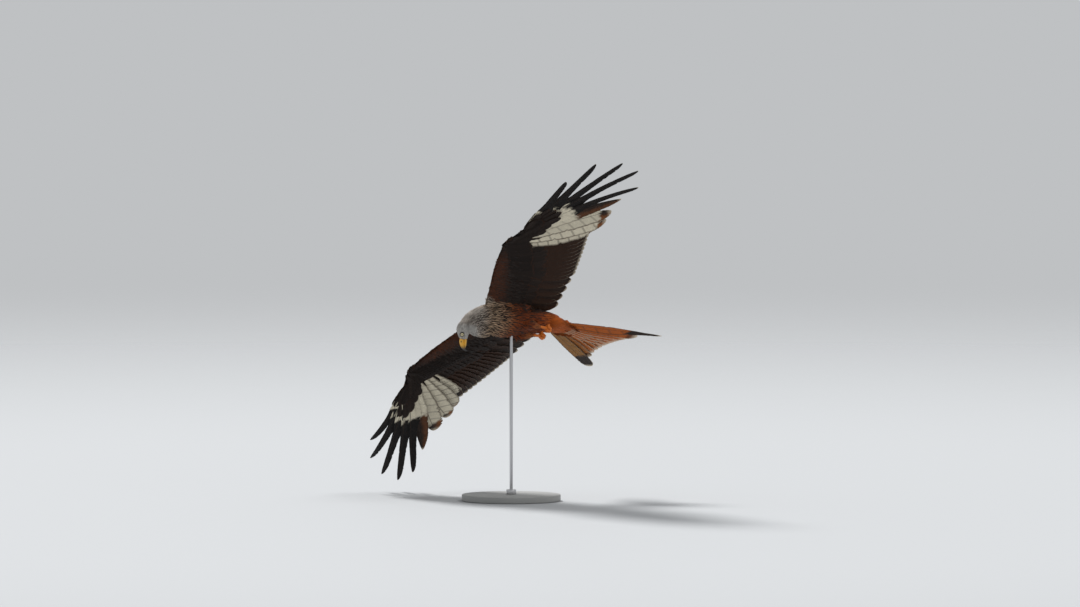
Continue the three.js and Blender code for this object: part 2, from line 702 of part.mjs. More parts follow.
function standRod(body) {
  const bottom = BASE_HEIGHT + GAP;
  const outline = [
    [0, bottom],
    [COLLAR_RADIUS, bottom],
    [COLLAR_RADIUS, bottom + COLLAR_EDGE],
    [COLLAR_TOP_RADIUS, bottom + COLLAR_HEIGHT],
    [ROD_RADIUS, bottom + COLLAR_HEIGHT],
    [ROD_RADIUS, ROD_TOP],
    [0, ROD_TOP],
  ].map(([r, z]) => new THREE.Vector2(r, z));
  const rod = solid(new THREE.LatheGeometry(outline, ROD_SIDES).rotateX(Math.PI / 2));
  const pieces = rod.subtract(body).decompose();
  return pieces.reduce((low, piece) => (piece.boundingBox().min[2] < low.boundingBox().min[2] ? piece : low));
}

// Meshes with the colours of the finished bird.
function mesh(name, form, colour, roughness, metalness = 0) {
  const shape = form.getMesh();
  const geometry = new THREE.BufferGeometry();
  geometry.setAttribute("position", new THREE.BufferAttribute(new Float32Array(shape.vertProperties), 3));
  geometry.setIndex(new THREE.BufferAttribute(new Uint32Array(shape.triVerts), 1));
  geometry.computeVertexNormals();
  const made = new THREE.Mesh(geometry, new THREE.MeshStandardMaterial({ color: colour, roughness, metalness }));
  made.name = name;
  return made;
}

const bodyWhole = join([trunk(0), skull(), wingStub("left", 0), wingStub("right", 0)]).subtract(headHollows());
const bodyGrown = trunk(GAP);
const neckLine = spineFrame(NECK_CUT);
const headLine = spineFrame(HEAD_CUT);
const neckAndHead = keepAhead(bodyWhole, neckLine.centre, neckLine.along);
const torso = keepAhead(keepBehind(bodyWhole, neckLine.centre, neckLine.along), vec(TAIL_AT), vec([1, 0, 0]));

const bird = new THREE.Group();
bird.rotation.set(rad(BANK), rad(-CLIMB), rad(HEADING), "ZYX");
bird.position.set(...BIRD_AT);

bird.add(mesh("torso", largest(torso), 0x7a3d22, 0.85));
bird.add(mesh("neck", largest(keepBehind(neckAndHead, headLine.centre, headLine.along)), 0xa08c78, 0.85));
bird.add(mesh("head", largest(keepAhead(neckAndHead, headLine.centre, headLine.along)), 0xcfc8c0, 0.85));
bird.add(mesh("bill_upper", upperBill(), 0xe8a81e, 0.4));
bird.add(mesh("bill_lower", largest(lowerBill()), 0xd89a20, 0.4));
for (const [name, side] of Object.entries(SIDE)) {
  const { arm, hand } = wing(name, bodyGrown, wingStub(name, GAP));
  bird.add(mesh("eye_" + name, eye(side), 0xe6d9a8, 0.1));
  bird.add(mesh("wing_" + name + "_arm", arm, 0x3b2419, 0.85));
  bird.add(mesh("wing_" + name + "_hand", hand, 0x2a201c, 0.85));
  bird.add(mesh("leg_" + name, shank(name, bodyGrown), 0x8a4526, 0.85));
  bird.add(mesh("foot_" + name, foot(name, bodyGrown), 0xe07a1c, 0.55));
}
bird.add(mesh("tail", tail(), 0xb8642c, 0.85));
bird.updateMatrixWorld(true);

const group = new THREE.Group();
group.add(bird);
const bodyInWorld = bodyGrown.add(bodyWhole).transform(bird.matrixWorld.toArray());
group.add(mesh("stand_base", standBase(), 0x8b8b88, 0.6));
group.add(mesh("stand_rod", standRod(bodyInWorld), 0x9a9a9a, 0.35, 0.9));

export default group;
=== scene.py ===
# Life-size red kite gliding on half-spread wings, banked to its right, held by a plain display stand.
# Lengths are in metres. The bird is made in its own axes, x to the bill, y to its left and z to its back,
# and is put in its pose last.

import math

import bpy
import numpy as np
from mathutils import Euler, Matrix, Vector
from mathutils.bvhtree import BVHTree


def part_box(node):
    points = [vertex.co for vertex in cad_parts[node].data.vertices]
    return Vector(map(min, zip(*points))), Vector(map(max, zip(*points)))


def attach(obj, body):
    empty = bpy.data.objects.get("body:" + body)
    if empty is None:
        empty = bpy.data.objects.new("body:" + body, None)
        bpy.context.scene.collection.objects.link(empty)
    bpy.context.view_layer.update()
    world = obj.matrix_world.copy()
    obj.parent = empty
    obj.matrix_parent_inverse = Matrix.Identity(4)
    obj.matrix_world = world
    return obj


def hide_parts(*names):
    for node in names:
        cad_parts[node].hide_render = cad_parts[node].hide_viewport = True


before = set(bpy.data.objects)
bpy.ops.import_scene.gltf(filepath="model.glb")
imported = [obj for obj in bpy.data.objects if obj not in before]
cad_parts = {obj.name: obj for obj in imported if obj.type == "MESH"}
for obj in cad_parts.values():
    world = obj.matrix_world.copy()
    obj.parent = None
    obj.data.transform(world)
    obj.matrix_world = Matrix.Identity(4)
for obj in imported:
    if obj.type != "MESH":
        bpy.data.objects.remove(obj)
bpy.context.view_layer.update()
bpy.ops.object.select_all(action="DESELECT")
draw = np.random.default_rng(7)

# Skin of the whole bird: trunk, neck, head, arms, root of the tail and shanks in one closed surface.
# It lies inside the solids by the depth of the feathers, except where armpits and throat are filled.
HEADING = math.radians(214.3)
CLIMB = math.radians(6.4)
BANK = math.radians(42.8)
BIRD_AT = Vector((0.015, 0.025, 0.545))
POSE = Matrix.Translation(BIRD_AT) @ Euler((BANK, -CLIMB, HEADING), "XYZ").to_matrix().to_4x4()

SPINE_AT = np.array([
    (-0.114, 0, 0.006),
    (-0.080, 0, 0.003),
    (-0.035, 0, 0),
    (0.015, 0, -0.002),
    (0.060, 0, -0.002),
    (0.098, -0.005, 0.002),
    (0.130, -0.020, 0.002),
    (0.157, -0.036, -0.006),
    (0.169, -0.043, -0.013),
])
SPINE_WIDE = np.array([0.042, 0.050, 0.053, 0.054, 0.056, 0.051, 0.044, 0.035, 0.019])
SPINE_BACK = np.array([0.024, 0.032, 0.037, 0.044, 0.047, 0.045, 0.041, 0.034, 0.019])
SPINE_BELLY = np.array([0.028, 0.030, 0.040, 0.049, 0.053, 0.047, 0.038, 0.030, 0.018])
TRUNK_COAT = 0.0065

HEAD_AT = Vector((0.1735, -0.0458, -0.0165))
HEAD_SET = Euler((math.radians(-54.7), math.radians(45.6), math.radians(-88.6)), "XYZ")
HEAD = np.array(Matrix.Translation(HEAD_AT) @ HEAD_SET.to_matrix().to_4x4())
BILL_ROOT = 0.028
SKULL_X = np.array([-0.031, -0.027, -0.019, -0.009, 0.002, 0.012, 0.020, BILL_ROOT])
SKULL_Z = np.array([-0.002, -0.001, 0, 0.001, 0.001, 0.0005, -0.0005, -0.0015])
SKULL_WIDE = np.array([0.004, 0.012, 0.0185, 0.0215, 0.022, 0.0195, 0.015, 0.0106])
SKULL_CROWN = np.array([0.004, 0.012, 0.018, 0.0215, 0.0215, 0.0185, 0.014, 0.0098])
SKULL_CHIN = np.array([0.004, 0.012, 0.017, 0.020, 0.020, 0.018, 0.015, 0.012])
HEAD_COAT = 0.0022
FACE_COAT = 0.0007
EYE_AT = np.array([0.0125, 0.0146, 0.003])

SHOULDER = np.array([0.080, 0.045, 0.020])
ARM = 0.289
SIDES = {"left": 1, "right": -1}
DIHEDRAL = {"left": 2.9, "right": 0.5}
FORWARD = {"left": 28.7, "right": 33.8}
HAND_DROP = {"left": -6.3, "right": -3.9}
HAND_BACK = {"left": 14.2, "right": 13.8}
ARM_ALONG = np.array([-0.020, 0.025, 0.070, 0.115, 0.165, 0.215, 0.258, 0.286])
ARM_FRONT = np.array([-0.050, -0.048, -0.039, -0.032, -0.024, -0.012, 0.002, 0.012])
ARM_CHORD = np.array([0.118, 0.122, 0.113, 0.104, 0.092, 0.075, 0.054, 0.042])
ARM_THICK = np.array([0.040, 0.037, 0.030, 0.025, 0.021, 0.0185, 0.017, 0.016])
HAND_ALONG = np.array([-0.010, 0.010, 0.040, 0.070, 0.095, 0.108])
HAND_FRONT = np.array([0.013, 0.010, 0.012, 0.014, 0.013, 0.0135])
HAND_CHORD = np.array([0.042, 0.043, 0.038, 0.032, 0.026, 0.017])
HAND_THICK = np.array([0.016, 0.015, 0.013, 0.011, 0.008, 0.005])
UNDERSIDE = 0.8
WING_COAT = 0.0028
ARMPIT_AT = np.array([0.020, 0.052, 0.012])
ARMPIT_SIZE = (0.045, 0.011, 0.013)
THROAT_AT = np.array([0.128, -0.0255, -0.022])
THROAT_SIZE = (0.043, 0.026, 0.025)

TAIL_AT = np.array([-0.114, 0, 0.006])
TAIL_TURNS = [("left", -5.1), ("over", 10.9), ("rear", 21.7)]
TAIL_LENGTHS = np.array([0, 0.018, 0.045, 0.075, 0.098])
TAIL_WIDE = np.array([0.045, 0.046, 0.043, 0.036, 0.024])
TAIL_HIGH = np.array([0.027, 0.023, 0.015, 0.008, 0.004])
TAIL_COAT = 0.003

FIST_AT = {"left": np.array([-0.092, 0.025, -0.041]), "right": np.array([-0.092, -0.014, -0.037])}
HIP_AT = np.array([0.002, 0.027, -0.034])
SHANK_PARTS = np.array([0, 0.12, 0.3, 0.49, 0.66])
SHANK_RADII = np.array([0.011, 0.016, 0.0155, 0.0105, 0.0068])
LEG_COAT = 0.003
LEFTWARD = (0.0, 1, 0)
UPWARD = (0.0, 0, 1)
RING_SIDES = 40
TUBE_SIDES = 24
TRUNK_STATIONS = 60
SKULL_STATIONS = 30
TAIL_STATIONS = 24
SHANK_STATIONS = 16
LOBE_STATIONS = 16
LOBE_END = 0.98
WING_FULLNESS = 2.1
WING_REAR = 0.11
LEAST_FLESH = 0.001
TAIL_OVERLAP = 0.012
TAIL_FACE_COAT = 0.7
SKIN_CELL = 0.0025


def unit(vectors):
    return vectors / np.linalg.norm(vectors, axis=-1, keepdims=True)


# Smooth values between evenly counted stations, by the Catmull-Rom rule.
def between(values, at):
    low = np.clip(np.floor(at).astype(int), 0, len(values) - 2)
    part = at - low
    picks = [values[np.clip(low + shift, 0, len(values) - 1)] for shift in (-1, 0, 1, 2)]
    if values.ndim > 1:
        part = part[:, None]
    before, first, second, after = picks
    slope_in = (second - before) / 2
    slope_out = (after - first) / 2
    rise = first - second
    return first + part * slope_in - part**2 * (3 * rise + 2 * slope_in + slope_out) + part**3 * (
        2 * rise + slope_in + slope_out
    )


def rings(centres, across, over, wide, high, low, sides=RING_SIDES):
    turn = np.linspace(0, 2 * math.pi, sides, endpoint=False)
    cos, sin = np.cos(turn), np.sin(turn)
    tall = np.where(sin[None, :] > 0, high[:, None], low[:, None])
    return (
        centres[:, None, :]
        + across[:, None, :] * (wide[:, None] * cos[None, :])[..., None]
        + over[:, None, :] * (tall * sin[None, :])[..., None]
    )


# Closed surface over rings of like count, fanned shut at both ends.
def loft(name, rows):
    count, sides = rows.shape[:2]
    points = np.concatenate([rows.reshape(-1, 3), rows[:1].mean(1), rows[-1:].mean(1)])
    faces = []
    for i in range(count - 1):
        for j in range(sides):
            after = (j + 1) % sides
            faces.append((i * sides + j, i * sides + after, (i + 1) * sides + after, (i + 1) * sides + j))
    last = (count - 1) * sides
    for j in range(sides):
        after = (j + 1) % sides
        faces.append((count * sides, after, j))
        faces.append((count * sides + 1, last + j, last + after))
    mesh = bpy.data.meshes.new(name)
    mesh.from_pydata(points.tolist(), [], faces)
    made = bpy.data.objects.new(name, mesh)
    bpy.context.collection.objects.link(made)
    bpy.context.view_layer.objects.active = made
    made.select_set(True)
    bpy.ops.object.mode_set(mode="EDIT")
    bpy.ops.mesh.select_all(action="SELECT")
    bpy.ops.mesh.normals_make_consistent(inside=False)
    bpy.ops.object.mode_set(mode="OBJECT")
    made.select_set(False)
    return made


def spine(count):
    at = np.linspace(0, len(SPINE_AT) - 1, count)
    centres = between(SPINE_AT, at)
    tangents = unit(np.gradient(centres, axis=0))
    across = unit(np.cross([0, 0, 1], tangents))
    return at, centres, tangents, across, np.cross(tangents, across)


def wing_planes(name):
    side = SIDES[name]

    def plane(origin, tilt, sweep):
        tilt, sweep = math.radians(tilt), math.radians(sweep)
        out = np.array([
            math.cos(tilt) * math.sin(sweep),
            side * math.cos(tilt) * math.cos(sweep),
            math.sin(tilt),
        ])
        rear = unit(np.array([-1, 0, 0]) + out * out[0])
        over = np.cross(out, rear) * side
        return origin, out, rear, over

    arm = plane(SHOULDER * [1, side, 1], DIHEDRAL[name], FORWARD[name])
    hand = plane(arm[0] + arm[1] * ARM, HAND_DROP[name], -HAND_BACK[name])
    return arm, hand


# The same two ring axes at every station.
def straight(count, across, over):
    return [np.repeat([axis], count, 0) for axis in (across, over)]


# Rounded filling between two parts of the flesh, in an armpit or at the throat.
# It stands out of the solids there, by up to 13 mm at the throat.
def lobe(name, centre, size):
    at = np.linspace(-LOBE_END, LOBE_END, LOBE_STATIONS)
    middle = centre + at[:, None] * [size[0], 0, 0]
    wide, high = (reach * np.sqrt(1 - at**2) for reach in size[1:])
    return loft(name, rings(middle, *straight(len(at), LEFTWARD, UPWARD), wide, high, high, TUBE_SIDES))


# Tube along a stretch of the leg, given in parts of the way from hip to fist.
def leg_tube(label, name, parts_of_leg, radii, stations, coat):
    hip = HIP_AT * [1, SIDES[name], 1]
    at = np.linspace(0, len(parts_of_leg) - 1, stations)
    middle = hip + between(parts_of_leg, at)[:, None] * (FIST_AT[name] - hip)
    line = unit(FIST_AT[name] - hip)
    beside = unit(np.cross([0, 0, 1], line))
    radius = between(radii, at) - coat
    frames = straight(len(at), beside, np.cross(line, beside))
    return loft(label + name, rings(middle, *frames, radius, radius, radius, TUBE_SIDES))


def wing_flesh(name, plane, along, front, chord, thick):
    origin, out, rear, over = plane
    at = np.linspace(0, len(along) - 1, 4 * len(along))
    along, front, chord, thick = (between(values, at) for values in (along, front, chord, thick))
    turn = np.linspace(0, 2 * math.pi, RING_SIDES, endpoint=False)
    part = (1 - np.cos(turn)) / 2
    swell = np.sqrt(part) * (1 - part) * WING_FULLNESS + WING_REAR * part
    rise = np.where(np.sin(turn) > 0, swell, -swell * UNDERSIDE)
    back = front[:, None] + WING_COAT + part * (chord[:, None] - 2 * WING_COAT)
    up = rise * np.maximum(thick[:, None] / 2 - WING_COAT, LEAST_FLESH)
    rows = origin + along[:, None, None] * out + back[..., None] * rear + up[..., None] * over
    return loft(name, rows)


def tail_plane():
    lines = {"rear": Vector((-1, 0, 0)), "left": Vector((0, 1, 0)), "over": Vector((0, 0, 1))}
    for axis, angle in TAIL_TURNS:
        turn = Matrix.Rotation(math.radians(angle), 3, lines[axis].copy())
        for line in lines.values():
            line.rotate(turn)
    return [np.array(lines[key]) for key in ("rear", "left", "over")]


def join(pieces, name):
    for piece in pieces:
        piece.select_set(True)
    bpy.context.view_layer.objects.active = pieces[0]
    bpy.ops.object.join()
    pieces[0].name = name
    return pieces[0]


def apply_modifier(piece, kind, **settings):
    made = piece.modifiers.new(kind.lower(), kind)
    for key, value in settings.items():
        setattr(made, key, value)
    bpy.context.view_layer.objects.active = piece
    bpy.ops.object.modifier_apply(modifier=made.name)


def read_points(mesh):
    points = np.empty(len(mesh.vertices) * 3)
    mesh.vertices.foreach_get("co", points)
    return points.reshape(-1, 3)


def read_normals(mesh):
    normals = np.empty(len(mesh.vertices) * 3, np.float32)
    mesh.vertex_normals.foreach_get("vector", normals)
    return normals.reshape(-1, 3).astype(float)


def in_head(points):
    return (points - HEAD[:3, 3]) @ HEAD[:3, :3]


# Places on the bird's right side, moved over to their twins on the left.
def to_left(points):
    return np.where([False, True, False], np.abs(points), points)


at, centres, _, across, over = spine(TRUNK_STATIONS)
parts = [
    loft(
        "trunk_skin",
        rings(
            centres,
            across,
            over,
            between(SPINE_WIDE, at) - TRUNK_COAT,
            between(SPINE_BACK, at) - TRUNK_COAT,
            between(SPINE_BELLY, at) - TRUNK_COAT,
        ),
    )
]
at = np.linspace(0, len(SKULL_X) - 1, SKULL_STATIONS)
skull_centres = np.stack([between(SKULL_X, at), 0 * at, between(SKULL_Z, at)], 1)
coat_here = np.interp(skull_centres[:, 0], [0.010, BILL_ROOT], [HEAD_COAT, FACE_COAT])
sizes = [between(values, at) - coat_here for values in (SKULL_WIDE, SKULL_CROWN, SKULL_CHIN)]
skull_rings = rings(skull_centres, *straight(len(at), LEFTWARD, UPWARD), *sizes)
parts.append(loft("skull_skin", skull_rings @ HEAD[:3, :3].T + HEAD[:3, 3]))
for name in SIDES:
    arm, hand = wing_planes(name)
    parts.append(wing_flesh("arm_skin_" + name, arm, ARM_ALONG, ARM_FRONT, ARM_CHORD, ARM_THICK))
    parts.append(wing_flesh("hand_skin_" + name, hand, HAND_ALONG, HAND_FRONT, HAND_CHORD, HAND_THICK))
    parts.append(leg_tube("shank_skin_", name, SHANK_PARTS, SHANK_RADII, SHANK_STATIONS, LEG_COAT))
    parts.append(lobe("armpit_skin_" + name, ARMPIT_AT * [1, SIDES[name], 1], ARMPIT_SIZE))
parts.append(lobe("throat_skin", THROAT_AT, THROAT_SIZE))
tail_rear, tail_left, tail_over = tail_plane()
at = np.linspace(0, len(TAIL_LENGTHS) - 1, TAIL_STATIONS)
reach = between(TAIL_LENGTHS, at)
start = TAIL_AT + np.array([TAIL_OVERLAP, 0, 0])
middle = np.concatenate([[start], TAIL_AT + reach[:, None] * tail_rear])
frames = straight(len(middle), tail_left, tail_over)
frames[0][0] = LEFTWARD
frames[1][0] = UPWARD
wide = np.concatenate([[SPINE_WIDE[0]], between(TAIL_WIDE, at)]) - TAIL_COAT
high = np.concatenate([[SPINE_BACK[0]], between(TAIL_HIGH, at)]) - TAIL_COAT * TAIL_FACE_COAT
parts.append(loft("tail_skin", rings(middle, *frames, wide, high, high)))

skin = join(parts, "skin")
apply_modifier(skin, "REMESH", mode="VOXEL", voxel_size=SKIN_CELL)
apply_modifier(skin, "SMOOTH", factor=0.5, iterations=5)
bpy.ops.object.shade_smooth()
skin.select_set(False)

# Folds of the face: a brow ridge over each eye, a socket round it, and a hollow between eye and bill.
FOLDS = [
    ((0.0100, 0.0160, 0.0108), (0.0110, 0.0060, 0.0026), 0.0026),
    ((0.0125, 0.0175, 0.0025), (0.0080, 0.0060, 0.0070), -0.0016),
    ((0.0215, 0.0120, 0.0020), (0.0040, 0.0040, 0.0035), -0.0014),
    ((0.0060, 0.0170, -0.0080), (0.0100, 0.0080, 0.0060), 0.0012),
]
places = read_points(skin.data)
outward = read_normals(skin.data)
mirrored = to_left(in_head(places))
for centre, reach, height in FOLDS:
    away = np.linalg.norm((mirrored - centre) / reach, axis=1)
    places += outward * (height * np.exp(-(away**2)))[:, None]
skin.data.vertices.foreach_set("co", places.ravel())
skin.data.update()


# Markings of the plumage: ground colour, dark shaft streak and pale rim for any place on the skin.
# Skin and feathers take them from the same rule. Colours are linear; the fourth value is the mark's width.
GREY_WHITE = np.array([0.60, 0.57, 0.53])
BUFF = np.array([0.44, 0.30, 0.19])
TAWNY = np.array([0.27, 0.082, 0.023])
CHESTNUT = np.array([0.17, 0.036, 0.008])
ORANGE = np.array([0.38, 0.082, 0.011])
DARK_BROWN = np.array([0.038, 0.019, 0.012])
BLACK_BROWN = np.array([0.012, 0.007, 0.005])
RUST = np.array([0.085, 0.024, 0.008])
RUFOUS_EDGE = np.array([0.26, 0.105, 0.04])
PALE_EDGE = np.array([0.70, 0.60, 0.46])
STREAK = np.array([0.022, 0.015, 0.012])
WING_ROOT = 0.052


def ease(low, high, values):
    part = np.clip((values - low) / (high - low), 0, 1)
    return part * part * (3 - 2 * part)


def blend(first, second, part):
    return first + (second - first) * np.asarray(part)[..., None]


def head_share(points):
    local = in_head(points)
    near = ease(0.050, 0.040, np.linalg.norm(local, axis=1))
    return ease(-0.026, -0.008, local[:, 0]) * near, local


def wing_share(points, crown):
    edge = WING_ROOT + 0.9 * np.maximum(points[:, 0] - 0.125, 0)
    return ease(edge, edge + 0.016, np.abs(points[:, 1])) * (1 - crown)


def leg_share(points):
    share = np.zeros(len(points))
    for name, side in SIDES.items():
        hip = HIP_AT * [1, side, 1]
        line = FIST_AT[name] - hip
        part = np.clip((points - hip) @ line / (line @ line), 0, 1)
        away = np.linalg.norm(points - hip - part[:, None] * line, axis=1)
        radius = np.interp(part, SHANK_PARTS, SHANK_RADII)
        share = np.maximum(share, ease(radius + 0.001, radius - 0.001, away) * ease(0.08, 0.2, part))
    return share


def plumage(points, normals):
    forward = points[:, 0]
    down = ease(0.25, -0.35, normals[:, 2])
    crown, local = head_share(points)
    front = ease(0.055, 0.115, forward)
    under = blend(CHESTNUT, TAWNY, ease(0.03, 0.085, forward))
    under = blend(under, BUFF, front)
    under = blend(under, ORANGE, ease(-0.035, -0.085, forward))
    upper = blend(DARK_BROWN, ORANGE * 0.55, ease(-0.055, -0.105, forward))
    upper = blend(upper, BUFF * 0.75, ease(0.085, 0.13, forward))
    ground = blend(upper, under, down)
    ground = blend(ground, GREY_WHITE, crown)
    neck = ease(0.115, 0.155, forward) * (1 - crown)
    ground = blend(ground, GREY_WHITE * 0.82, neck * 0.7)
    streak = 0.12 + 0.10 * ease(-0.05, 0.03, forward) * down + 0.16 * front * down
    streak = streak * (1 - crown) + 0.27 * crown * ease(0.026, -0.012, local[:, 0])
    streak = streak * ease(-0.10, -0.05, forward)
    rim = blend(RUFOUS_EDGE, CHESTNUT * 1.3, down)
    rim = blend(blend(rim, PALE_EDGE * 0.75, front), GREY_WHITE, crown)
    mark = np.repeat([STREAK], len(points), 0)
    wing = wing_share(points, crown)
    for name, side in SIDES.items():
        (origin, out, rear, _), hand = wing_planes(name)
        share = wing * (points[:, 1] * side > 0)
        along = (points - origin) @ out
        back = (points - origin) @ rear
        place = back - np.interp(along, ARM_ALONG, ARM_FRONT)
        depth = np.clip(place / np.interp(along, ARM_ALONG, ARM_CHORD), 0, 1)
        beneath = blend(RUST, BLACK_BROWN, ease(0.10, 0.55, depth))
        beneath = blend(beneath, BLACK_BROWN, ease(0.18, 0.27, along))
        above = blend(DARK_BROWN, BUFF * 0.27, ease(0.42, 0.6, depth) * 0.8)
        ground = blend(ground, blend(above, beneath, down), share)
        rim = blend(rim, blend(RUFOUS_EDGE, RUST * 1.5, down), share)
        streak = streak * (1 - share) + share * 0.16
    leg = leg_share(points)
    ground = blend(ground, TAWNY * 1.15, leg)
    streak = streak * (1 - leg) + leg * 0.1
    return ground, mark, rim, streak


def paint(mesh, name, colours, widths=None):
    values = np.ones((len(colours), 4), np.float32)
    values[:, :3] = colours
    if widths is not None:
        values[:, 3] = widths
    layer = mesh.color_attributes.new(name, "FLOAT_COLOR", "POINT")
    layer.data.foreach_set("color", values.ravel())


def number(mesh, name, values):
    layer = mesh.attributes.new(name, "FLOAT", "POINT")
    layer.data.foreach_set("value", np.asarray(values, np.float32))


# Links a node's output to a socket, or sets the socket to a plain value.
def feed(tree, socket, value):
    if isinstance(value, bpy.types.NodeSocket):
        tree.links.new(value, socket)
    else:
        socket.default_value = value


def node(tree, kind, inputs=None, **settings):
    made = tree.nodes.new("ShaderNode" + kind)
    for key, value in settings.items():
        setattr(made, key, value)
    for key, value in (inputs or {}).items():
        feed(tree, made.inputs[key], value)
    return made


def maths(tree, operation, first, second=0.0, third=0.0):
    made = node(tree, "Math", {0: first, 1: second, 2: third}, operation=operation)
    return made.outputs[0]


def ramp(tree, value, low, high):
    span = {"Value": value, "From Min": low, "From Max": high}
    return node(tree, "MapRange", span, interpolation_type="SMOOTHSTEP").outputs[0]


def mix(tree, part, first, second):
    return node(tree, "Mix", {"Factor": part, 6: first, 7: second}, data_type="RGBA").outputs[2]


# One of the numbers that a mesh carries at its points.
def trait(tree, name):
    return node(tree, "Attribute", attribute_name=name).outputs["Fac"]


def noise(tree, scale, detail=2.0):
    place = node(tree, "TexCoord").outputs["Object"]
    return node(tree, "TexNoise", {"Vector": place, "Scale": scale, "Detail": detail}).outputs["Fac"]


def scaled(tree, colour, amount):
    return node(tree, "VectorMath", {0: colour, "Scale": amount}, operation="SCALE").outputs[0]


def emboss(tree, shader, height, distance, strength):
    bump = node(tree, "Bump", {"Height": height, "Distance": distance, "Strength": strength})
    tree.links.new(bump.outputs["Normal"], shader.inputs["Normal"])


def finish_material(name, roughness, gloss=0.5):
    material = bpy.data.materials.new(name)
    material.use_nodes = True
    tree = material.node_tree
    shader = tree.nodes["Principled BSDF"]
    shader.inputs["Roughness"].default_value = roughness
    shader.inputs["Specular IOR Level"].default_value = gloss
    return material, tree, shader


# Barbs: fine slanting lines on both webs of a vane, its pale rim, and small uneven tones.
def barb_group():
    tree = bpy.data.node_groups.new("barbs_and_rim", "ShaderNodeTree")
    for label, way, kind in (
        ("Ground", "INPUT", "Color"),
        ("Rim Strength", "INPUT", "Float"),
        ("Side Rim", "INPUT", "Float"),
        ("Colour", "OUTPUT", "Color"),
        ("Height", "OUTPUT", "Float"),
    ):
        tree.interface.new_socket(label, in_out=way, socket_type="NodeSocket" + kind)
    given = tree.nodes.new("NodeGroupInput")
    result = tree.nodes.new("NodeGroupOutput")
    rim = node(tree, "Attribute", attribute_name="rim")
    across = maths(tree, "ABSOLUTE", trait(tree, "across"))
    grain = noise(tree, 160.0, 3.0)
    wave = maths(tree, "SINE", maths(tree, "MULTIPLY", trait(tree, "barb"), 2 * math.pi))
    uneven = maths(tree, "MULTIPLY_ADD", grain, 0.35, maths(tree, "MULTIPLY_ADD", wave, 0.05, 0.74))
    uneven = maths(tree, "ADD", uneven, maths(tree, "MULTIPLY", trait(tree, "chance"), 0.16))
    tone = scaled(tree, given.outputs["Ground"], uneven)
    tip = maths(tree, "POWER", trait(tree, "along"), 6.0)
    side = given.outputs["Side Rim"]
    side = maths(tree, "ADD", side, maths(tree, "MULTIPLY", maths(tree, "SUBTRACT", 1.0, side), tip))
    edge = maths(tree, "MAXIMUM", maths(tree, "MULTIPLY", maths(tree, "POWER", across, 2.0), side), tip)
    edge = maths(tree, "ADD", edge, maths(tree, "MULTIPLY_ADD", grain, 0.2, -0.1))
    start = maths(tree, "SUBTRACT", 1.0, rim.outputs["Alpha"])
    rimmed = node(tree, "MapRange", {"Value": edge, "From Min": start, "From Max": 1.0})
    rimmed = maths(tree, "MULTIPLY", rimmed.outputs[0], given.outputs["Rim Strength"])
    tree.links.new(mix(tree, rimmed, tone, rim.outputs["Color"]), result.inputs["Colour"])
    tree.links.new(maths(tree, "MULTIPLY_ADD", wave, 0.5, grain), result.inputs["Height"])
    return tree


BARBS = barb_group()


def barbs(tree, ground, rim_strength, side_rim, shader, depth):
    given = {"Ground": ground, "Rim Strength": rim_strength, "Side Rim": side_rim}
    group = node(tree, "Group", given, node_tree=BARBS)
    tree.links.new(group.outputs["Colour"], shader.inputs["Base Color"])
    emboss(tree, shader, group.outputs["Height"], depth, 0.5)


skin_points = read_points(skin.data)
skin_normals = read_normals(skin.data)
ground, mark, rim, streak = plumage(skin_points, skin_normals)
paint(skin.data, "ground", blend(ground, mark, streak * 0.6))
down_material, tree, shader = finish_material("down", 0.9, 0.08)
under_colour = node(tree, "Attribute", attribute_name="ground").outputs["Color"]
fluff = noise(tree, 220.0, 4.0)
feed(tree, shader.inputs["Base Color"], scaled(tree, under_colour, ramp(tree, fluff, 0.1, 1.1)))
emboss(tree, shader, fluff, 0.001, 0.6)
skin_tree = BVHTree.FromPolygons(skin_points.tolist(), [tuple(f.vertices) for f in skin.data.polygons])


# Flight feathers: ten primaries on each hand, twelve secondaries and four tertials on each arm.
# Each is a horn shaft with two webs of barbs. The outer web is narrow and lies over the next feather's
# inner one.
PRIMARY_LENGTHS = np.array([0.252, 0.349, 0.407, 0.430, 0.399, 0.333, 0.291, 0.285, 0.275, 0.258])
PRIMARY_ROOTS = np.array([
    (0.095, 0.024),
    (0.092, 0.028),
    (0.086, 0.031),
    (0.078, 0.034),
    (0.068, 0.036),
    (0.056, 0.038),
    (0.044, 0.039),
    (0.032, 0.040),
    (0.020, 0.040),
    (0.008, 0.040),
])
PRIMARY_FAN = {
    "left": np.array([-17.7, -8.2, 0.4, 6.8, 14.3, 20, 34, 48, 57.5, 64.4]),
    "right": np.array([-8.5, -2, 4, 9.9, 15, 20.6, 29.3, 38.5, 44.5, 49]),
}
PRIMARY_RISE = {
    "left": np.array([-4, 4, -13, -34, -48, -32, -10, 10, 27, 36]) / 1000,
    "right": np.array([31, 42, 19, -3, -20, -7, 5, 15, 20, 27]) / 1000,
}
FINGERS = 5
FINGER_BEND = 2.4
ARM_BEND = 2
SECONDARIES = 12
TERTIALS = 4
ARM_ROW = np.array([[0.280, 0.042], [0.130, 0.064], [0.004, 0.042]])
ARM_TURNS = np.array([12.0, 29, 32])
ARM_LENGTHS = np.array([0.265, 0.216, 0.178])
ARM_RISES = np.array([0.018, 0.020, 0.009])
ARM_DEPTHS = np.array([0.025, 0.088, 0.080])
HAND_DEPTH = 0.021
FINGER_WIDTH = (0.013, 0.034)
PRIMARY_WIDTH = (0.020, 0.041)
SECONDARY_WIDTH = (0.024, 0.031)
ROLL = 0.09
WEB_THICK = 0.0005
SHAFT_THICK = 0.0019
BARB_PITCH = 0.0016
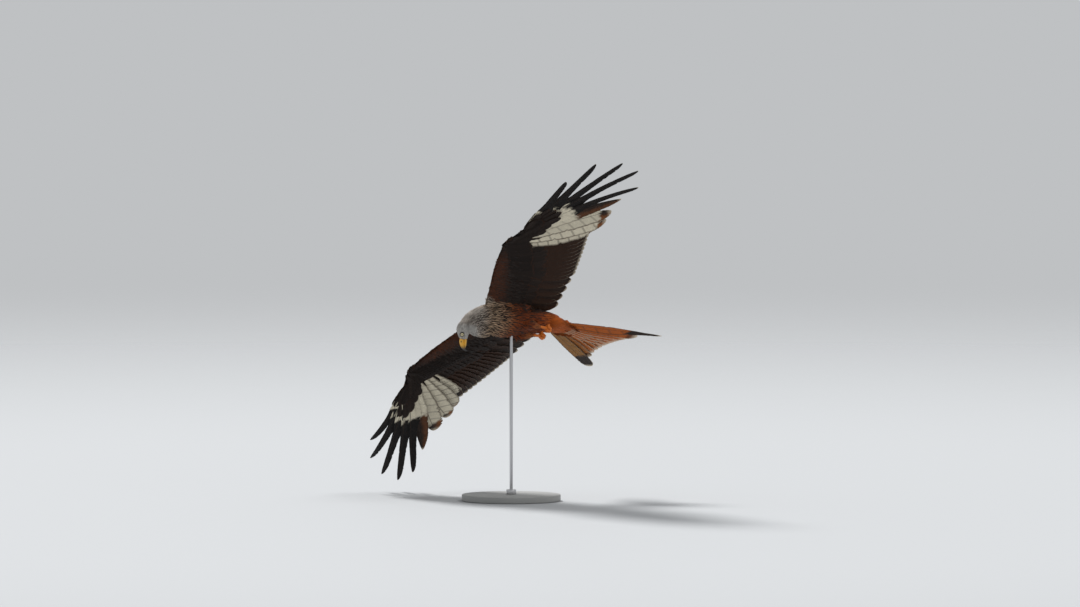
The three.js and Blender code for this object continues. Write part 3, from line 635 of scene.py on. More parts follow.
# Outlines: part of the length, then part of the outer and of the inner width there.
QUILL = [(0, 0.18, 0.12), (0.08, 0.6, 0.4), (0.2, 0.9, 0.75)]
BLUNT = np.array([*QUILL, (0.55, 1, 1), (0.85, 0.94, 0.9), (1, 0.75, 0.7)])
SCALLOP = np.array([*QUILL, (0.6, 1, 1), (0.84, 0.86, 0.8), (1, 0.6, 0.5)])
HALF_FINGER = np.array([
    (0, 0.18, 0.12),
    (0.15, 0.8, 0.6),
    (0.45, 0.9, 0.9),
    (0.7, 0.62, 0.72),
    (0.85, 0.45, 0.55),
    (1, 0.3, 0.3),
])
FINGER = np.array([
    (0, 0.2, 0.12),
    (0.14, 0.9, 0.6),
    (0.34, 0.92, 1),
    (0.44, 0.62, 0.92),
    (0.52, 0.5, 0.62),
    (0.66, 0.46, 0.5),
    (0.85, 0.4, 0.42),
    (1, 0.3, 0.3),
])
# Extent of the white window along each primary, outermost first, and strength of its bars.
WINDOW = np.array([0.34, 0.35, 0.37, 0.39, 0.43, 0.56, 0.88, 0.93, 0.96, 0.97])
WINDOW_BARS = np.array([0.05, 0.05, 0.08, 0.08, 0.1, 0.2, 0.3, 0.4, 0.45, 0.4])
WINDOW_WHITE = np.array([0.72, 0.65, 0.50])
FINGER_BLACK = np.array([0.008, 0.0065, 0.006])
PRIMARY_BROWN = np.array([0.020, 0.010, 0.006])
SECONDARY_BROWN = np.array([0.012, 0.006, 0.0035])
# Warm brown painted on the inner webs of the under faces as a glow of light shining through them.
PAINTED_GLOW_BROWN = (0.30, 0.10, 0.03, 1)
BAR_BROWN = (0.05, 0.03, 0.02, 1)
# Brown painted as shade along a feather's sides, where the next feather overlaps it.
SEAM_SHADE_BROWN = (0.06, 0.035, 0.02, 1)
SHAFT_BROWN = (0.045, 0.028, 0.018, 1)
# Wear of the webs: spread of their width, and share, depth and start of the gaps between barbs.
RAGGED = 0.022
NOTCH_SHARE = 0.05
NOTCH_LEFT = 0.86
NOTCHES_FROM = 0.3
LOOSE_WEB = 0.6
RIB_WIDE = 0.12
RIB_TAPER = 0.8
WEB_TAPER = 0.4
TIP_CROWDING = 0.85
BARB_SLANT = 0.9
UV_STRIP = 0.42
WHOLE_UV = (0, 0, 1, 1)
PRIMARY_UV = (0, 0, 0.3, 1)
VANE_ROWS = 60
ARM_VANE_ROWS = 56
VANE_COLUMNS = 11
DARK_FINGERS = 4.0
TONE_OVER = 1.5
SMOOTH_BELOW = math.radians(50)


# One row of feathers as arrays: roots, directions, inner sides, backs, lengths, rises and bends.
def feather_row(roots, alongs, inners, overs, lengths, rises, bends, depths):
    count = len(roots)
    row = {"root": roots, "along": alongs, "inner": inners, "over": np.broadcast_to(overs, (count, 3)).copy()}
    for key, values in (("length", lengths), ("rise", rises), ("bend", bends), ("depth", depths)):
        row[key] = np.broadcast_to(np.asarray(values, float), (count,)).copy()
    return row


def part_of(row, chosen):
    return {key: values[chosen] for key, values in row.items()}


def fanned(plane, roots, angles, lengths, rises, bends, depths):
    origin, out, rear, over = plane
    places = origin + roots[:, :1] * out + roots[:, 1:] * rear
    cos, sin = np.cos(angles)[:, None], np.sin(angles)[:, None]
    flats = np.sqrt(lengths**2 - rises**2)
    alongs, inners = out * cos + rear * sin, rear * cos - out * sin
    return feather_row(places, alongs, inners, over, flats, rises, bends, depths)


def primary_row(name):
    hand = wing_planes(name)[1]
    angles = np.radians(PRIMARY_FAN[name])
    return fanned(hand, PRIMARY_ROOTS, angles, PRIMARY_LENGTHS, PRIMARY_RISE[name], FINGER_BEND, HAND_DEPTH)


def arm_row(name):
    arm = wing_planes(name)[0]
    first = np.linspace(0, 1, SECONDARIES)
    last = 1 + np.arange(1, TERTIALS + 1) / TERTIALS
    place = np.concatenate([first, last])

    def pick(values):
        return np.interp(place, [0, 1, 2], values)

    roots = np.stack([pick(ARM_ROW[:, 0]), pick(ARM_ROW[:, 1])], 1)
    angles = np.radians(90 + pick(ARM_TURNS))
    return fanned(arm, roots, angles, pick(ARM_LENGTHS), pick(ARM_RISES), ARM_BEND, pick(ARM_DEPTHS))


# Places along a row of feathers, for an array of parts of their lengths.
def shaft_points(row, parts):
    lift = row["rise"][:, None] * np.maximum(parts, 0) ** row["bend"][:, None]
    flat = row["length"][:, None] * parts
    ahead = row["root"][:, None] + row["along"][:, None] * flat[..., None]
    return ahead + row["over"][:, None] * lift[..., None]


# Closed vanes in one mesh. Points come as feather, row, column; the lower face lies a web's thickness below.
def vane_mesh(name, upper, lower, traits, uv_places):
    count, rows, columns = upper.shape[:3]
    points = np.concatenate([upper.reshape(count, -1, 3), lower.reshape(count, -1, 3)], 1)
    index = np.arange(rows * columns).reshape(rows, columns)
    corner = [index[:-1, :-1], index[1:, :-1], index[1:, 1:], index[:-1, 1:]]
    top = np.stack([c.ravel() for c in corner], 1)
    bottom = top[:, ::-1] + rows * columns
    walls = []
    for line in (index[0], index[:, -1], index[-1, ::-1], index[::-1, 0]):
        step = np.stack([line[:-1], line[1:], line[1:] + rows * columns, line[:-1] + rows * columns], 1)
        walls.append(step)
    quads = np.concatenate([top, bottom, *walls])
    whole = (quads[None] + (np.arange(count) * 2 * rows * columns)[:, None, None]).reshape(-1, 4)
    mesh = bpy.data.meshes.new(name)
    mesh.vertices.add(points.size // 3)
    mesh.vertices.foreach_set("co", points.ravel())
    mesh.loops.add(whole.size)
    mesh.loops.foreach_set("vertex_index", whole.ravel())
    mesh.polygons.add(len(whole))
    mesh.polygons.foreach_set("loop_start", np.arange(0, whole.size, 4))
    mesh.update(calc_edges=True)
    for key, values in traits.items():
        doubled = np.concatenate([values, values], 1)
        if values.ndim == 3:
            paint(mesh, key, doubled.reshape(-1, 4)[:, :3], doubled.reshape(-1, 4)[:, 3])
        else:
            number(mesh, key, doubled.ravel())
    face = np.tile(np.repeat([1.0, 0.0], rows * columns), count)
    number(mesh, "upper_face", face)
    both = np.concatenate([uv_places, uv_places], 1).reshape(-1, 2)
    layer = mesh.uv_layers.new(name="OFBake")
    layer.data.foreach_set("uv", both[whole.ravel()].astype(np.float32).ravel())
    made = bpy.data.objects.new(name, mesh)
    bpy.context.collection.objects.link(made)
    return made


# What the markings need at each point of a vane: its place along and across, its barb, and a chance value.
def vane_traits(part, across, barb, chance):
    traits = {"along": part[None, :, None], "across": across, "barb": barb, "chance": chance}
    return {
        key: np.ascontiguousarray(np.broadcast_to(values, barb.shape)).reshape(len(barb), -1)
        for key, values in traits.items()
    }


# Shape of a vane row: outline, cupped webs, a raised shaft, notches between barbs and a rounded tip.
def vanes(name, row, outline, widths, grid, shaft, colours, uv_box=WHOLE_UV, cup=0.06, tip_from=0.9):
    count = len(row["length"])
    rows, columns = grid
    part = np.sin(np.linspace(0, math.pi / 2, rows)) ** TIP_CROWDING
    across = np.linspace(-1, 1, columns)
    outer, inner = (np.interp(part, outline[:, 0], outline[:, side]) * widths[side - 1] for side in (1, 2))
    tip = np.sqrt(np.clip(1 - np.clip((part - tip_from) / (1 - tip_from), 0, 1) ** 2, 0.0009, 1))
    ragged = 1 + draw.normal(0, RAGGED, (count, rows, 2))
    notch = draw.random((count, rows, 2)) < NOTCH_SHARE
    ragged = np.where(notch & (part[None, :, None] > NOTCHES_FROM), ragged * NOTCH_LEFT, ragged)
    reach = np.where(across[None, None, :] < 0, outer[None, :, None], inner[None, :, None]) * across
    edge = np.where(across[None, None, :] < 0, ragged[..., :1], ragged[..., 1:])
    reach = reach * tip[None, :, None] * np.where(np.abs(across) > LOOSE_WEB, edge, 1)
    middle = shaft_points(row, np.broadcast_to(part, (count, rows)))
    height = -reach * ROLL - cup * np.abs(across) ** 2 * np.abs(reach)
    rib = shaft * (1 - RIB_TAPER * part)[None, :, None] * np.exp(-((across / RIB_WIDE) ** 2))
    inner_side, over = row["inner"][:, None, None], row["over"][:, None, None]
    bare = middle[:, :, None] + inner_side * reach[..., None]
    slim = WEB_THICK * (1 - WEB_TAPER * part)[None, :, None, None] / 2
    upper = bare + over * (height + rib / 2)[..., None] + over * slim
    lower = bare + over * (height - rib / 2)[..., None] - over * slim
    shape = (count, rows, columns)
    length = row["length"][:, None, None]
    along = np.broadcast_to(part[None, :, None], shape)
    barb = (along * length - np.abs(reach) * BARB_SLANT) / BARB_PITCH
    traits = vane_traits(part, across, barb, draw.random(count)[:, None, None])
    for key, values in colours.items():
        traits[key] = np.repeat(values[:, None], rows * columns, 1)
    left, low, wide, tall = uv_box
    strip = (np.arange(count)[:, None, None] + 0.5 + across * UV_STRIP) / count
    strip = np.broadcast_to(strip, shape)
    uv = np.stack([left + wide * strip, low + tall * along], -1).reshape(count, -1, 2)
    return vane_mesh(name, upper, lower, traits, uv)


def with_width(colour, widths):
    widths = np.atleast_1d(np.asarray(widths, float))
    colour = np.broadcast_to(colour, (len(widths), 3))
    return np.concatenate([colour, widths[:, None]], 1)


# Markings of a flight feather: pale window from the root, bars over it, dark web beyond it, pale rim. Painted
# light on it too: a warm glow on the inner web of the under faces for light shining through, a dark shade
# line along its sides where the next feather overlaps, and the pale rim made stronger on the under faces.
def flight_material(name, shown_above):
    material, tree, shader = finish_material(name, 0.55, 0.1)
    ground = node(tree, "Attribute", attribute_name="ground")
    pale = node(tree, "Attribute", attribute_name="mark")
    under = maths(tree, "SUBTRACT", 1.0, trait(tree, "upper_face"))
    along, across = trait(tree, "along"), trait(tree, "across")
    to_side = maths(tree, "ABSOLUTE", across)
    grain = noise(tree, 70.0, 4.0)
    wander = maths(tree, "MULTIPLY_ADD", grain, 0.12, maths(tree, "MULTIPLY", across, 0.02))
    reached = maths(tree, "ADD", along, maths(tree, "ADD", wander, -0.06))
    shown = maths(tree, "SUBTRACT", pale.outputs["Alpha"], reached)
    faces = maths(tree, "MULTIPLY_ADD", under, 1 - shown_above, shown_above)
    window = maths(tree, "MULTIPLY", ramp(tree, shown, -0.02, 0.03), faces)
    # Painted glow: the ground colour's fourth value sets how much of the inner web on the under faces turns
    # warm brown, for light shining through it.
    inner_web = ramp(tree, maths(tree, "ADD", across, grain), 0.5, 1.3)
    painted_glow = maths(tree, "MULTIPLY", ground.outputs["Alpha"], inner_web)
    painted_glow = maths(tree, "MULTIPLY", painted_glow, faces)
    base = mix(tree, painted_glow, ground.outputs["Color"], PAINTED_GLOW_BROWN)
    base = mix(tree, window, base, pale.outputs["Color"])
    slant = maths(tree, "MULTIPLY_ADD", to_side, -0.05, along)
    phase = maths(tree, "MULTIPLY_ADD", slant, 50.0, maths(tree, "MULTIPLY", trait(tree, "chance"), 4.0))
    stripe = ramp(tree, maths(tree, "SINE", phase), 0.72, 0.98)
    web = ramp(tree, maths(tree, "MULTIPLY_ADD", grain, 0.5, across), 0.0, 0.5)
    stripe = maths(tree, "MULTIPLY", stripe, trait(tree, "bars"))
    stripe = maths(tree, "MULTIPLY", stripe, maths(tree, "MULTIPLY", web, faces))
    base = mix(tree, stripe, base, BAR_BROWN)
    # Painted shade: a thin dark line along both sides of the vane, where the next feather overlaps and shades
    # it.
    line = ramp(tree, maths(tree, "MULTIPLY_ADD", grain, 0.1, to_side), 0.86, 1.02)
    base = mix(tree, maths(tree, "MULTIPLY", line, trait(tree, "margin")), base, SEAM_SHADE_BROWN)
    shaft = ramp(tree, to_side, 0.07, 0.03)
    base = mix(tree, maths(tree, "MULTIPLY", shaft, 0.6), base, SHAFT_BROWN)
    # The pale rim is the feathers' own colour, painted three times as strong on the under faces as light
    # shining through the fringe.
    barbs(tree, base, maths(tree, "MULTIPLY_ADD", under, 0.6, 0.3), 0.72, shader, 0.0006)
    return material


FLIGHT = flight_material("flight_feathers", 0.0)


# Puts a piece in its pose, gives it its finish, and hangs it on the one body of the model.
def settle(piece, material, posed=True):
    if posed:
        piece.data.transform(POSE)
    piece.data.materials.clear()
    piece.data.materials.append(material)
    piece.select_set(True)
    bpy.context.view_layer.objects.active = piece
    bpy.ops.object.shade_smooth_by_angle(angle=SMOOTH_BELOW)
    piece.select_set(False)
    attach(piece, "root")


for name in SIDES:
    row = primary_row(name)
    count = len(PRIMARY_LENGTHS)
    tip_tone = np.clip((np.arange(count) - DARK_FINGERS) / TONE_OVER, 0, 1)
    brown = blend(np.repeat([FINGER_BLACK], count, 0), PRIMARY_BROWN, tip_tone)
    colours = {
        # The ground's fourth value is the strength of the painted glow of light through the inner webs.
        "ground": with_width(brown, 0.7 * tip_tone**2),
        "mark": with_width(WINDOW_WHITE, WINDOW),
        "rim": with_width(PALE_EDGE, 0.03 + 0.27 * tip_tone),
        "bars": WINDOW_BARS,
        # Strength of the painted shade line along the feathers' sides.
        "margin": 0.75 * tip_tone,
    }
    for label, chosen, outline, widths, tip_from in (
        ("fingers_", slice(0, FINGERS), FINGER, FINGER_WIDTH, 0.9),
        ("half_finger_", slice(FINGERS, FINGERS + 1), HALF_FINGER, PRIMARY_WIDTH, 0.8),
        ("primaries_", slice(FINGERS + 1, None), BLUNT, PRIMARY_WIDTH, 0.84),
    ):
        made = vanes(
            label + name,
            part_of(row, chosen),
            outline,
            widths,
            (VANE_ROWS, VANE_COLUMNS),
            SHAFT_THICK,
            part_of(colours, chosen),
            PRIMARY_UV,
            tip_from=tip_from,
        )
        settle(made, FLIGHT)
    row = arm_row(name)
    count = len(row["length"])
    colours = {
        # A faint painted glow of light through the inner webs, as the ground's fourth value.
        "ground": with_width(SECONDARY_BROWN, np.full(count, 0.06)),
        "mark": with_width(WINDOW_WHITE * 0.6, np.interp(np.arange(count), [0, 1, 3], [0.55, 0.4, 0.0])),
        "rim": with_width(PALE_EDGE, np.full(count, 0.26)),
        "bars": np.full(count, 0.12),
    }
    made = vanes(
        "secondaries_" + name,
        row,
        SCALLOP,
        SECONDARY_WIDTH,
        (ARM_VANE_ROWS, VANE_COLUMNS),
        SHAFT_THICK,
        colours,
        tip_from=0.84,
    )
    settle(made, FLIGHT)


# Coverts: rows of shorter feathers on both faces of a wing, each lying along the large feather behind it.
# The greater row covers the quills, and the median row covers the roots of the greater ones.
COVERT = np.array([(0, 0.4, 0.4), (0.3, 0.9, 0.9), (0.6, 1, 1), (0.85, 0.92, 0.92), (1, 0.8, 0.8)])
# Depth sunk into the flesh, start ahead of the large roots, reach along the large feathers, height at root
# and tip, widths of both webs, and feathers to each large one.
TIERS = {
    ("arm", "greater"): (0.006, 0.2, 0.44, 0.0034, 0.0052, (0.016, 0.018), 1),
    ("arm", "median"): (0.008, 0.38, 0.22, 0.005, 0.0078, (0.013, 0.014), 2),
    ("hand", "greater"): (0.006, 0.35, 0.31, 0.002, 0.0042, (0.012, 0.014), 1),
    ("hand", "median"): (0.008, 0.5, 0.17, 0.003, 0.0058, (0.010, 0.011), 2),
}
COVERT_GRID = (20, 9)
COVERT_SHAFT = 0.0008
TIER_COLOURS = {
    ("greater", 1): (DARK_BROWN * 0.8, RUFOUS_EDGE * 0.8),
    ("median", 1): (BUFF * 0.17, BUFF * 0.6),
    ("greater", -1): (BLACK_BROWN * 1.3, RUST),
    ("median", -1): (BLACK_BROWN, RUST * 0.8),
}


# A median row has one more covert between each two large feathers.
def covert_row(large, face, sunk, ahead, reach, root_off, off, close):
    count = len(large["length"])
    place = np.linspace(0, count - 1, (count - 1) * close + 1)
    fine = {key: between(values, place) for key, values in large.items()}
    fine["inner"], fine["along"], fine["over"] = (unit(fine[key]) for key in ("inner", "along", "over"))
    before = sunk + ahead * fine["depth"]
    length = (before + reach * fine["length"]) * draw.uniform(0.95, 1.05, len(place))
    root = fine["root"] - fine["along"] * before[:, None] + fine["over"] * (face * root_off)
    rise = fine["rise"] * (reach**1.5) + face * (off - root_off)
    return feather_row(root, fine["along"], fine["inner"], fine["over"], length, rise, 1.2, 0)


for name in SIDES:
    large_rows = {"arm": arm_row(name), "hand": primary_row(name)}
    for (part_name, tier_name), (*places, widths, close) in TIERS.items():
        for face, face_name in ((1, "upper"), (-1, "under")):
            row = covert_row(large_rows[part_name], face, *places, close)
            count = len(row["length"])
            tone, edge = TIER_COLOURS[tier_name, face]
            tones = draw.uniform(0.75, 1.25, (count, 1)) * tone
            colours = {
                "ground": with_width(tones, np.zeros(count)),
                "mark": with_width(tone, np.zeros(count)),
                "rim": with_width(edge, np.full(count, 0.16)),
                "bars": np.zeros(count),
            }
            label = "_".join((part_name, tier_name, face_name, name))
            made = vanes(
                label, row, COVERT, widths, COVERT_GRID, COVERT_SHAFT, colours, cup=0.04, tip_from=0.82
            )
            settle(made, FLIGHT)


# Tail: six pairs of feathers in a shallow fork, orange above and below, the outer ones darker and longest.
TAIL_SPREAD = 25.7
TAIL_ROOT = 0.030
RECTRIX_LENGTHS = np.array([0.250, 0.253, 0.259, 0.270, 0.292, 0.360])
RECTRIX_WIDTH = (0.018, 0.028)
TAIL_QUILL = [(0, 0.2, 0.14), (0.16, 0.85, 0.66)]
RECTRIX = np.array([*TAIL_QUILL, (0.55, 1, 1), (0.86, 0.9, 0.86), (1, 0.72, 0.66)])
THIN = np.array([*TAIL_QUILL, (0.5, 1, 1), (0.68, 0.7, 0.6), (0.85, 0.35, 0.3), (1, 0.2, 0.18)])
TAIL_ORANGE = np.array([0.43, 0.100, 0.013])
TAIL_CREAM = np.array([0.25, 0.130, 0.034])
TAIL_CORNER = np.array([0.022, 0.012, 0.008])


def rectrix_row():
    sides = np.array([1] * 6 + [-1] * 6)
    order = np.concatenate([np.arange(5, -1, -1), np.arange(6)])
    angles = np.radians((order + 0.5) / 5.5 * TAIL_SPREAD)
    cos, sin = np.cos(angles)[:, None], (sides * np.sin(angles))[:, None]
    along = tail_rear * cos + tail_left * sin
    inner = tail_rear * np.abs(sin) - tail_left * cos * sides[:, None]
    offsets = (sides * (0.002 + order * 0.0036))[:, None]
    roots = TAIL_AT + tail_rear * TAIL_ROOT + tail_left * offsets
    lengths = RECTRIX_LENGTHS[order] - TAIL_ROOT
    return feather_row(roots, along, inner, tail_over, lengths, 0, ARM_BEND, 0.04), order, sides


row, order, sides = rectrix_row()
outerness = np.clip((order - 3.2) / 1.8, 0, 1)
on_right = np.where(sides < 0, 1.0, 0.0)
warm = blend(np.repeat([TAIL_ORANGE], 12, 0), TAIL_CREAM, on_right * (0.25 + 0.6 * outerness))
dark_from = np.where(order == 5, np.where(sides > 0, 0.68, 0.74), np.where(order == 4, 0.90, 1.2))
colours = {
    "ground": with_width(blend(warm * 0.6, TAIL_CORNER, outerness), np.zeros(12)),
    "mark": with_width(warm, dark_from),
    # The pale fringe is the tail's own colour, brightened 1.3 times as painted light shining through it.
    "rim": with_width(PALE_EDGE * 1.3, 0.52 - 0.24 * outerness),
    "bars": 0.12 + 0.25 * outerness,
    # Strength of the painted shade line along the sides, heavier on the outer feathers.
    "margin": 0.35 + 0.6 * outerness,
}
TAIL_VANES = flight_material("tail_vanes", 1.0)
for label, chosen, outline in (
    ("tail_outer_left", slice(0, 1), THIN),
    ("tail_feathers", slice(1, None), RECTRIX),
):
    some, tones = part_of(row, chosen), part_of(colours, chosen)
    made = vanes(label, some, outline, RECTRIX_WIDTH, (VANE_ROWS, VANE_COLUMNS), SHAFT_THICK, tones)
    settle(made, TAIL_VANES)


# Coat: small feathers over the whole skin, set a few millimetres apart, lying back from the bill to the tail.
# They are narrow and pointed on neck and shanks, short on the head and the front of the wing, and broad on
# back and belly.
COAT_SEEDS = 150000
FAR_OFF = 0.004
RUMP_END = -0.155
HALF_THICK = 0.00016
COAT_BARB_PITCH = 0.6
BARE_FACE_FROM = 0.0265
EYE_CLEAR = 0.0070
NECK_FROM = 0.095
MOSTLY_WING = 0.4
# Way of lying, in degrees back from the bones at places along arm and hand, and splay over the tail's root.
ARM_LIE = ([0, 0.13, 0.28], [30, 22, 8])
HAND_LIE = ([-0.01, 0.03, 0.1], [72, 50, 15])
TAIL_SPLAY = 2.2
WAYWARD = 0.10
RUMP_CALM = 0.5
FLAT_LAY = 0.15
# Cosines: the least at which a feather still follows the skin, at a step and in all, and the most at which
# a root still lies flat enough to carry one.
STEP_TURN = 0.6
WHOLE_TURN = 0.5
STEEP = 0.6
STEEP_RUMP = 0.4
# Spread of the feathers' sizes, lifts, tones and streaks about their own place's value.
SIZE_SPREAD = (0.85, 1.15)
LIFT_SPREAD = (0.6, 1.15)
TONE_SPREAD = (0.78, 1.18)
STREAK_SPREAD = (0.6, 1.5)
SKEW = 0.06
DROOP = 0.5
COAT_RIM = 0.3
WING_FEATHER_GRID = (7, 5, 0.78)
# Length, half width, lift of the tip and distance between neighbours. On the trunk each is given for places
# along it, on the head as a value less its fall towards the bill, on the wing for depths from its front edge.
TRUNK_FEATHERS = [
    ([-0.21, -0.13, -0.03, 0.06, 0.11, 0.15], [0.026, 0.044, 0.030, 0.026, 0.022, 0.017]),
    ([-0.21, -0.13, -0.03, 0.06, 0.11, 0.15], [0.006, 0.0085, 0.0075, 0.0066, 0.0050, 0.0032]),
    ([-0.16, -0.12, -0.05, 0.06, 0.15], [0.0012, 0.0028, 0.0058, 0.0062, 0.0052]),
    ([-0.13, -0.03, 0.06, 0.11, 0.15], [0.0078, 0.0078, 0.0068, 0.0056, 0.0042]),
]
HEAD_FEATHERS = np.array([0.0088, 0.0014, 0.0021, 0.0023])[:, None]
FACE_FALL = np.array([0.0056, 0.0008, 0.0011, 0.0009])[:, None]
WING_DEPTHS = [0, 0.02, 0.08]
WING_FEATHERS = [
    [0.012, 0.020, 0.027],
    [0.0036, 0.0055, 0.0085],
    [0.0018, 0.0026, 0.0034],
    [0.0034, 0.0052, 0.0080],
]
SHANK_FEATHERS = np.array([0.018, 0.0028, 0.0026, 0.0040])[:, None]


# Unwrap of the skin's own shape: round and along the trunk, and along and across each wing.
def unwrap(points, normals):
    _, middles, _, across, over = spine(40)
    nearest = np.argmin(((points[:, None] - middles[None]) ** 2).sum(-1), 1)
    offset = points - middles[nearest]
    angle = np.arctan2((offset * over[nearest]).sum(1), (offset * across[nearest]).sum(1))
    stretch = (points[:, 0] - points[:, 0].min()) / np.ptp(points[:, 0])
    wing = np.abs(points[:, 1]) > WING_ROOT
    u = np.where(wing, np.abs(points[:, 1]) / 0.5, 0.5 + angle / (2 * math.pi))
    v = np.where(wing, 0.5 * (normals[:, 2] > 0) + 0.48 * stretch, stretch)
    return np.stack([0.02 + 0.96 * u, 0.02 + 0.96 * v], 1)


def skin_samples(count):
    mesh = skin.data
    mesh.calc_loop_triangles()
    corners = np.empty(len(mesh.loop_triangles) * 3, int)
    mesh.loop_triangles.foreach_get("vertices", corners)
    corners = skin_points[corners.reshape(-1, 3)]
    area = np.linalg.norm(np.cross(corners[:, 1] - corners[:, 0], corners[:, 2] - corners[:, 0]), axis=1)
    chosen = draw.choice(len(area), count, p=area / area.sum())
    first, second = draw.random(count), draw.random(count)
    over_half = first + second > 1
    first, second = np.where(over_half, 1 - first, first), np.where(over_half, 1 - second, second)
    start, one, other = (corners[chosen, k] for k in range(3))
    return start + (one - start) * first[:, None] + (other - start) * second[:, None]


def nearest_on_skin(points):
    found = [skin_tree.find_nearest(Vector(point)) for point in points]
    places = np.array([f[0] for f in found])
    normals = np.array([f[1] for f in found])
    return places, normals, np.array([f[3] for f in found])


# Direction in which the feathers lie at a place, before it is laid into the surface.
def lie(points):
    _, middles, tangents, _, _ = spine(60)
    nearest = np.argmin(((points[:, None] - middles[None]) ** 2).sum(-1), 1)
    direction = -tangents[nearest]
    crown, _ = head_share(points)
    direction = blend(direction, np.repeat([-HEAD[:3, 0]], len(points), 0), crown)
    wing = wing_share(points, crown)
    for name, side in SIDES.items():
        arm, hand = wing_planes(name)
        share = wing * (points[:, 1] * side > 0)
        along = (points - arm[0]) @ arm[1]
        turn = np.radians(90 + np.interp(along, *ARM_LIE))[:, None]
        back = arm[1] * np.cos(turn) + arm[2] * np.sin(turn)
        past = (points - hand[0]) @ hand[1]
        fan = np.radians(np.interp(past, *HAND_LIE))[:, None]
        outward = hand[1] * np.cos(fan) + hand[2] * np.sin(fan)
        direction = blend(direction, blend(back, outward, ease(0.27, 0.31, along)), share)
    tail = ease(-0.10, -0.13, points[:, 0]) * (np.abs(points[:, 1]) < 0.08)
    aside = ((points - TAIL_AT) @ tail_left) * TAIL_SPLAY
    direction = blend(direction, tail_rear + aside[:, None] * tail_left, tail)
    leg = leg_share(points)
    for name, side in SIDES.items():
        line = unit(FIST_AT[name] - HIP_AT * [1, side, 1])
        direction = blend(direction, np.repeat([line], len(points), 0), leg * (points[:, 1] * side > -0.006))
    return unit(direction)


def feather_sizes(points):
    crown, local = head_share(points)
    sizes = np.stack([np.interp(points[:, 0], *table) for table in TRUNK_FEATHERS])
    face = ease(-0.010, 0.026, local[:, 0])
    sizes = sizes * (1 - crown) + crown * (HEAD_FEATHERS - FACE_FALL * face)
    wing = wing_share(points, crown)
    for name, side in SIDES.items():
        (origin, out, rear, _), _ = wing_planes(name)
        share = wing * (points[:, 1] * side > 0)
        along = (points - origin) @ out
        depth = (points - origin) @ rear - np.interp(along, ARM_ALONG, ARM_FRONT)
        here = np.stack([np.interp(depth, WING_DEPTHS, values) for values in WING_FEATHERS])
        sizes = sizes * (1 - share) + share * here
    leg = leg_share(points)
    return sizes * (1 - leg) + leg * SHANK_FEATHERS


# Thins random places so that each keeps its own distance from the ones kept before it.
def spaced(points, gaps):
    cell = gaps.max()
    grid = {}
    kept = []
    cells = np.floor(points / cell).astype(int)
    neighbours = [(a, b, c) for a in (-1, 0, 1) for b in (-1, 0, 1) for c in (-1, 0, 1)]
    for i, (x, y, z) in enumerate(cells.tolist()):
        place, reach = points[i], gaps[i]
        near = [j for a, b, c in neighbours for j in grid.get((x + a, y + b, z + c), ())]
        if near and (((points[near] - place) ** 2).sum(1) < reach * reach).any():
            continue
        grid.setdefault((x, y, z), []).append(i)
        kept.append(i)
    return np.array(kept)


# Part of a wing's depth at which a place lies, from its front edge to the rear of its flesh.
def chord_part(points):
    part = np.zeros(len(points))
    for name, side in SIDES.items():
        arm, hand = wing_planes(name)
        mine = points[:, 1] * side > 0
        for (origin, out, rear, _), along, front, chord in (
            (arm, ARM_ALONG, ARM_FRONT, ARM_CHORD),
            (hand, HAND_ALONG, HAND_FRONT, HAND_CHORD),
        ):
            here = (points - origin) @ out
            depth = ((points - origin) @ rear - np.interp(here, along, front)) / np.interp(here, along, chord)
            part = np.where(mine & (here > 0), depth, part)
    return part


# Shaft line of each small feather, step by step over the skin, and straight on where the skin turns away.
def lines_on_skin(points, normals, directions, lengths, rows, loose):
    places = [points]
    ups = [normals]
    ways = [directions]
    step = lengths / (rows - 1)
    for _ in range(rows - 1):
        ahead = places[-1] + ways[-1] * step[:, None]
        found, up, away = nearest_on_skin(ahead)
        turned = ((up * ups[-1]).sum(1) < STEP_TURN) | ((up * normals).sum(1) < WHOLE_TURN)
        loose = loose | (away > FAR_OFF) | turned
        place = np.where(loose[:, None], ahead, found)
        up = np.where(loose[:, None], ups[-1], up)
        way = place - places[-1]
        way = unit(way - up * (way * up).sum(1)[:, None])
        places.append(place)
        ups.append(up)
        ways.append(np.where(loose[:, None], ways[-1], way))
    return (np.stack(values, 1) for values in (places, ups, ways))


